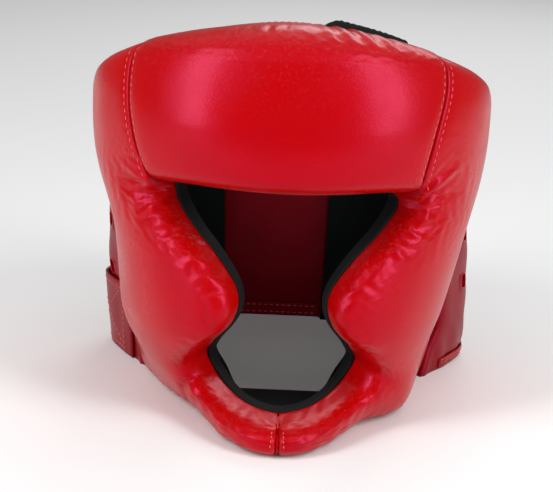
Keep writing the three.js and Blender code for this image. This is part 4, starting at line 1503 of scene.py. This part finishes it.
def cloth(name, colour, gaps, threads, ribs, roughness, depth, **constants):
    """Weave with painted shade in its gaps, and a mottled wear."""
    material, tree, shader = new_material(name, **constants)
    weave = use(tree, WEAVE, Threads_per_Centimetre=threads, Ribs=ribs)
    grain = use(tree, GRAIN, Cells_per_Metre=2200, Patches_per_Metre=60)
    # Painted shade: the colour goes towards the darker one in the gaps of the weave.
    shade = blended(tree, weave["GapShade"], colour, gaps)
    shade = blended(tree, maths(tree, "MULTIPLY", grain["Mottle"], 0.4), shade, gaps)
    tree.links.new(shade, shader.inputs["Base Color"])
    rough = maths(tree, "ADD", maths(tree, "MULTIPLY", grain["Mottle"], -0.1), roughness)
    tree.links.new(rough, shader.inputs["Roughness"])
    raised(tree, shader, weave["Height"], 0.6, depth)
    return material


BLACK = {"Specular_IOR_Level": 0.15}
LINING_CLOTH = cloth(
    "lining_cloth_finish", (0.007, 0.009, 0.009), (0.002, 0.003, 0.003), 14, 1, 0.85, 0.0001, **BLACK
)
TAPE_WEAVE = cloth(
    "tape_weave_finish", (0.008, 0.008, 0.008), (0.002, 0.002, 0.002), 9, 2.5, 0.75, 0.0002, **BLACK
)
THREAD = cloth("thread_finish", (0.80, 0.09, 0.09), (0.55, 0.03, 0.03), 20, 1, 0.5, 0.0001)


def pile(name, colour, hollows, size, roughness, depth):
    """Pores or hooks: grain cells, with painted shade in the dark hollows between them."""
    material, tree, shader = new_material(name)
    grain = use(tree, GRAIN, Cells_per_Metre=size, Patches_per_Metre=70)
    # Painted shade: the low parts between the cells are darkened.
    low = spread(tree, grain["Height"], 0.85, 0.5)
    tree.links.new(blended(tree, low, colour, hollows), shader.inputs["Base Color"])
    rough = maths(tree, "ADD", maths(tree, "MULTIPLY", grain["Mottle"], 0.08), roughness)
    tree.links.new(rough, shader.inputs["Roughness"])
    raised(tree, shader, grain["Height"], 0.8, depth)
    return material


FOAM = pile("foam_finish", (0.62, 0.56, 0.42), (0.35, 0.30, 0.20), 900, 0.88, 0.0004)
HOOKS = pile("hook_and_loop_finish", (0.02, 0.02, 0.022), (0.004, 0.004, 0.004), 1100, 0.8, 0.0006)
print("finishes:", len(bpy.data.materials))

# %% Each piece gets the finish of its slot; stitches get the thread, and a piece without a slot the red vinyl
BY_SLOT = {
    "red_vinyl": RED,
    "dark_red_vinyl": SHADED_PANEL_RED,
    "black_lining": LINING_CLOTH,
    "binding_tape": TAPE_WEAVE,
    "pad_foam": FOAM,
    "hook_and_loop": HOOKS,
}
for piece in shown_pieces():
    if piece.type == "MESH" and not piece.data.materials:
        if "stitch" in piece.name:
            piece.data.materials.append(THREAD)
        else:
            piece.data.materials.append(BY_SLOT[piece.get("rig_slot", "red_vinyl")])

# %% [markdown]
# ## Camera, floor and light
# The camera looks down at the face from the front, a metre away, with a narrow lens. The floor is
# pale and matt. Two tall soft boxes beside the camera give the two upright highlights on the brow, a
# wide one overhead lights the floor and the crown, and one behind lights the back. The room itself is
# nearly white to the eye but gives little light, so that the red keeps its depth.

# %% Camera
SCENE = bpy.context.scene
SCENE.view_settings.view_transform = "Standard"
LEAN, ROLL = 15.1, 2.5  # degrees
LENS = 108
TARGET = np.array([-0.001, -0.0004, 0.110])
ASIDE, BELOW = 0.00657, 0.02479  # where the sight line passes the target, a metre away


def placed(right, up, towards, position):
    """A matrix with the three directions as its columns and the position beside them."""
    matrix = Matrix.Identity(4)
    for row in range(3):
        matrix[row][0], matrix[row][1], matrix[row][2] = right[row], up[row], towards[row]
        matrix[row][3] = position[row]
    return matrix


def add_camera():
    """A metre back along the leaning sight line, rolled a little, aimed just beside the middle."""
    lean, roll = np.radians(LEAN), np.radians(ROLL)
    back = np.array([0, -np.cos(lean), np.sin(lean)])
    right = np.array([1.0, 0, 0])
    up = np.cross(back, right)
    position = TARGET + back
    right, up = (
        np.cos(roll) * right + np.sin(roll) * up,
        np.cos(roll) * up - np.sin(roll) * right,
    )
    forward = -back - right * ASIDE - up * BELOW
    forward /= np.linalg.norm(forward)
    right = right - forward * (right @ forward)
    right /= np.linalg.norm(right)
    camera = bpy.data.objects.new("camera", bpy.data.cameras.new("camera"))
    SCENE.collection.objects.link(camera)
    camera.data.sensor_width = 36
    camera.data.lens = LENS
    camera.matrix_world = placed(right, np.cross(right, forward), -forward, position)
    SCENE.camera = camera


add_camera()

# %% Floor and light
WIDE = 4000.0
FLOOR = np.array([[-WIDE, -WIDE, 0], [WIDE, -WIDE, 0], [WIDE, WIDE, 0], [-WIDE, WIDE, 0]])
GIVEN, SEEN = 0.2, 0.95  # the room's strength as light, and to the camera
floor = make_object("floor", FLOOR, np.array([[0, 1, 2, 3]]), turn=False)
matt, _, shader = new_material("floor_finish", Base_Color=(0.86, 0.86, 0.86, 1), Roughness=0.7)
floor.data.materials.append(matt)

SCENE.world = bpy.data.worlds.new("studio")
SCENE.world.use_nodes = True
room = SCENE.world.node_tree
seen = room.nodes.new("ShaderNodeLightPath").outputs["Is Camera Ray"]
room.nodes["Background"].inputs["Color"].default_value = (1, 1, 1, 1)
room.links.new(spread(room, seen, 0, 1, GIVEN, SEEN), room.nodes["Background"].inputs["Strength"])


def soft_box(name, azimuth, height, distance, size, power):
    """A rectangular lamp at an azimuth from the front, aimed at the middle of the headgear."""
    turn = np.radians(azimuth)
    position = np.array([distance * np.sin(turn), -distance * np.cos(turn), height])
    away = position - [0, 0, 0.12]
    away /= np.linalg.norm(away)
    side = np.cross([0, 0, 1], away)
    side /= np.linalg.norm(side)
    lamp = bpy.data.lights.new(name, "AREA")
    lamp.shape = "RECTANGLE"
    lamp.size, lamp.size_y = size
    lamp.energy = power
    box = bpy.data.objects.new(name, lamp)
    SCENE.collection.objects.link(box)
    box.matrix_world = placed(side, np.cross(away, side), away, position)


soft_box("ceiling_box", 0, 2.6, 0.01, (4.0, 4.0), 30)
soft_box("back_box", 165, 1.2, 1.6, (1.0, 0.8), 7)
soft_box("left_box", -54, 0.75, 1.2, (0.42, 1.3), 14)
soft_box("right_box", 54, 0.75, 1.2, (0.5, 1.3), 15)
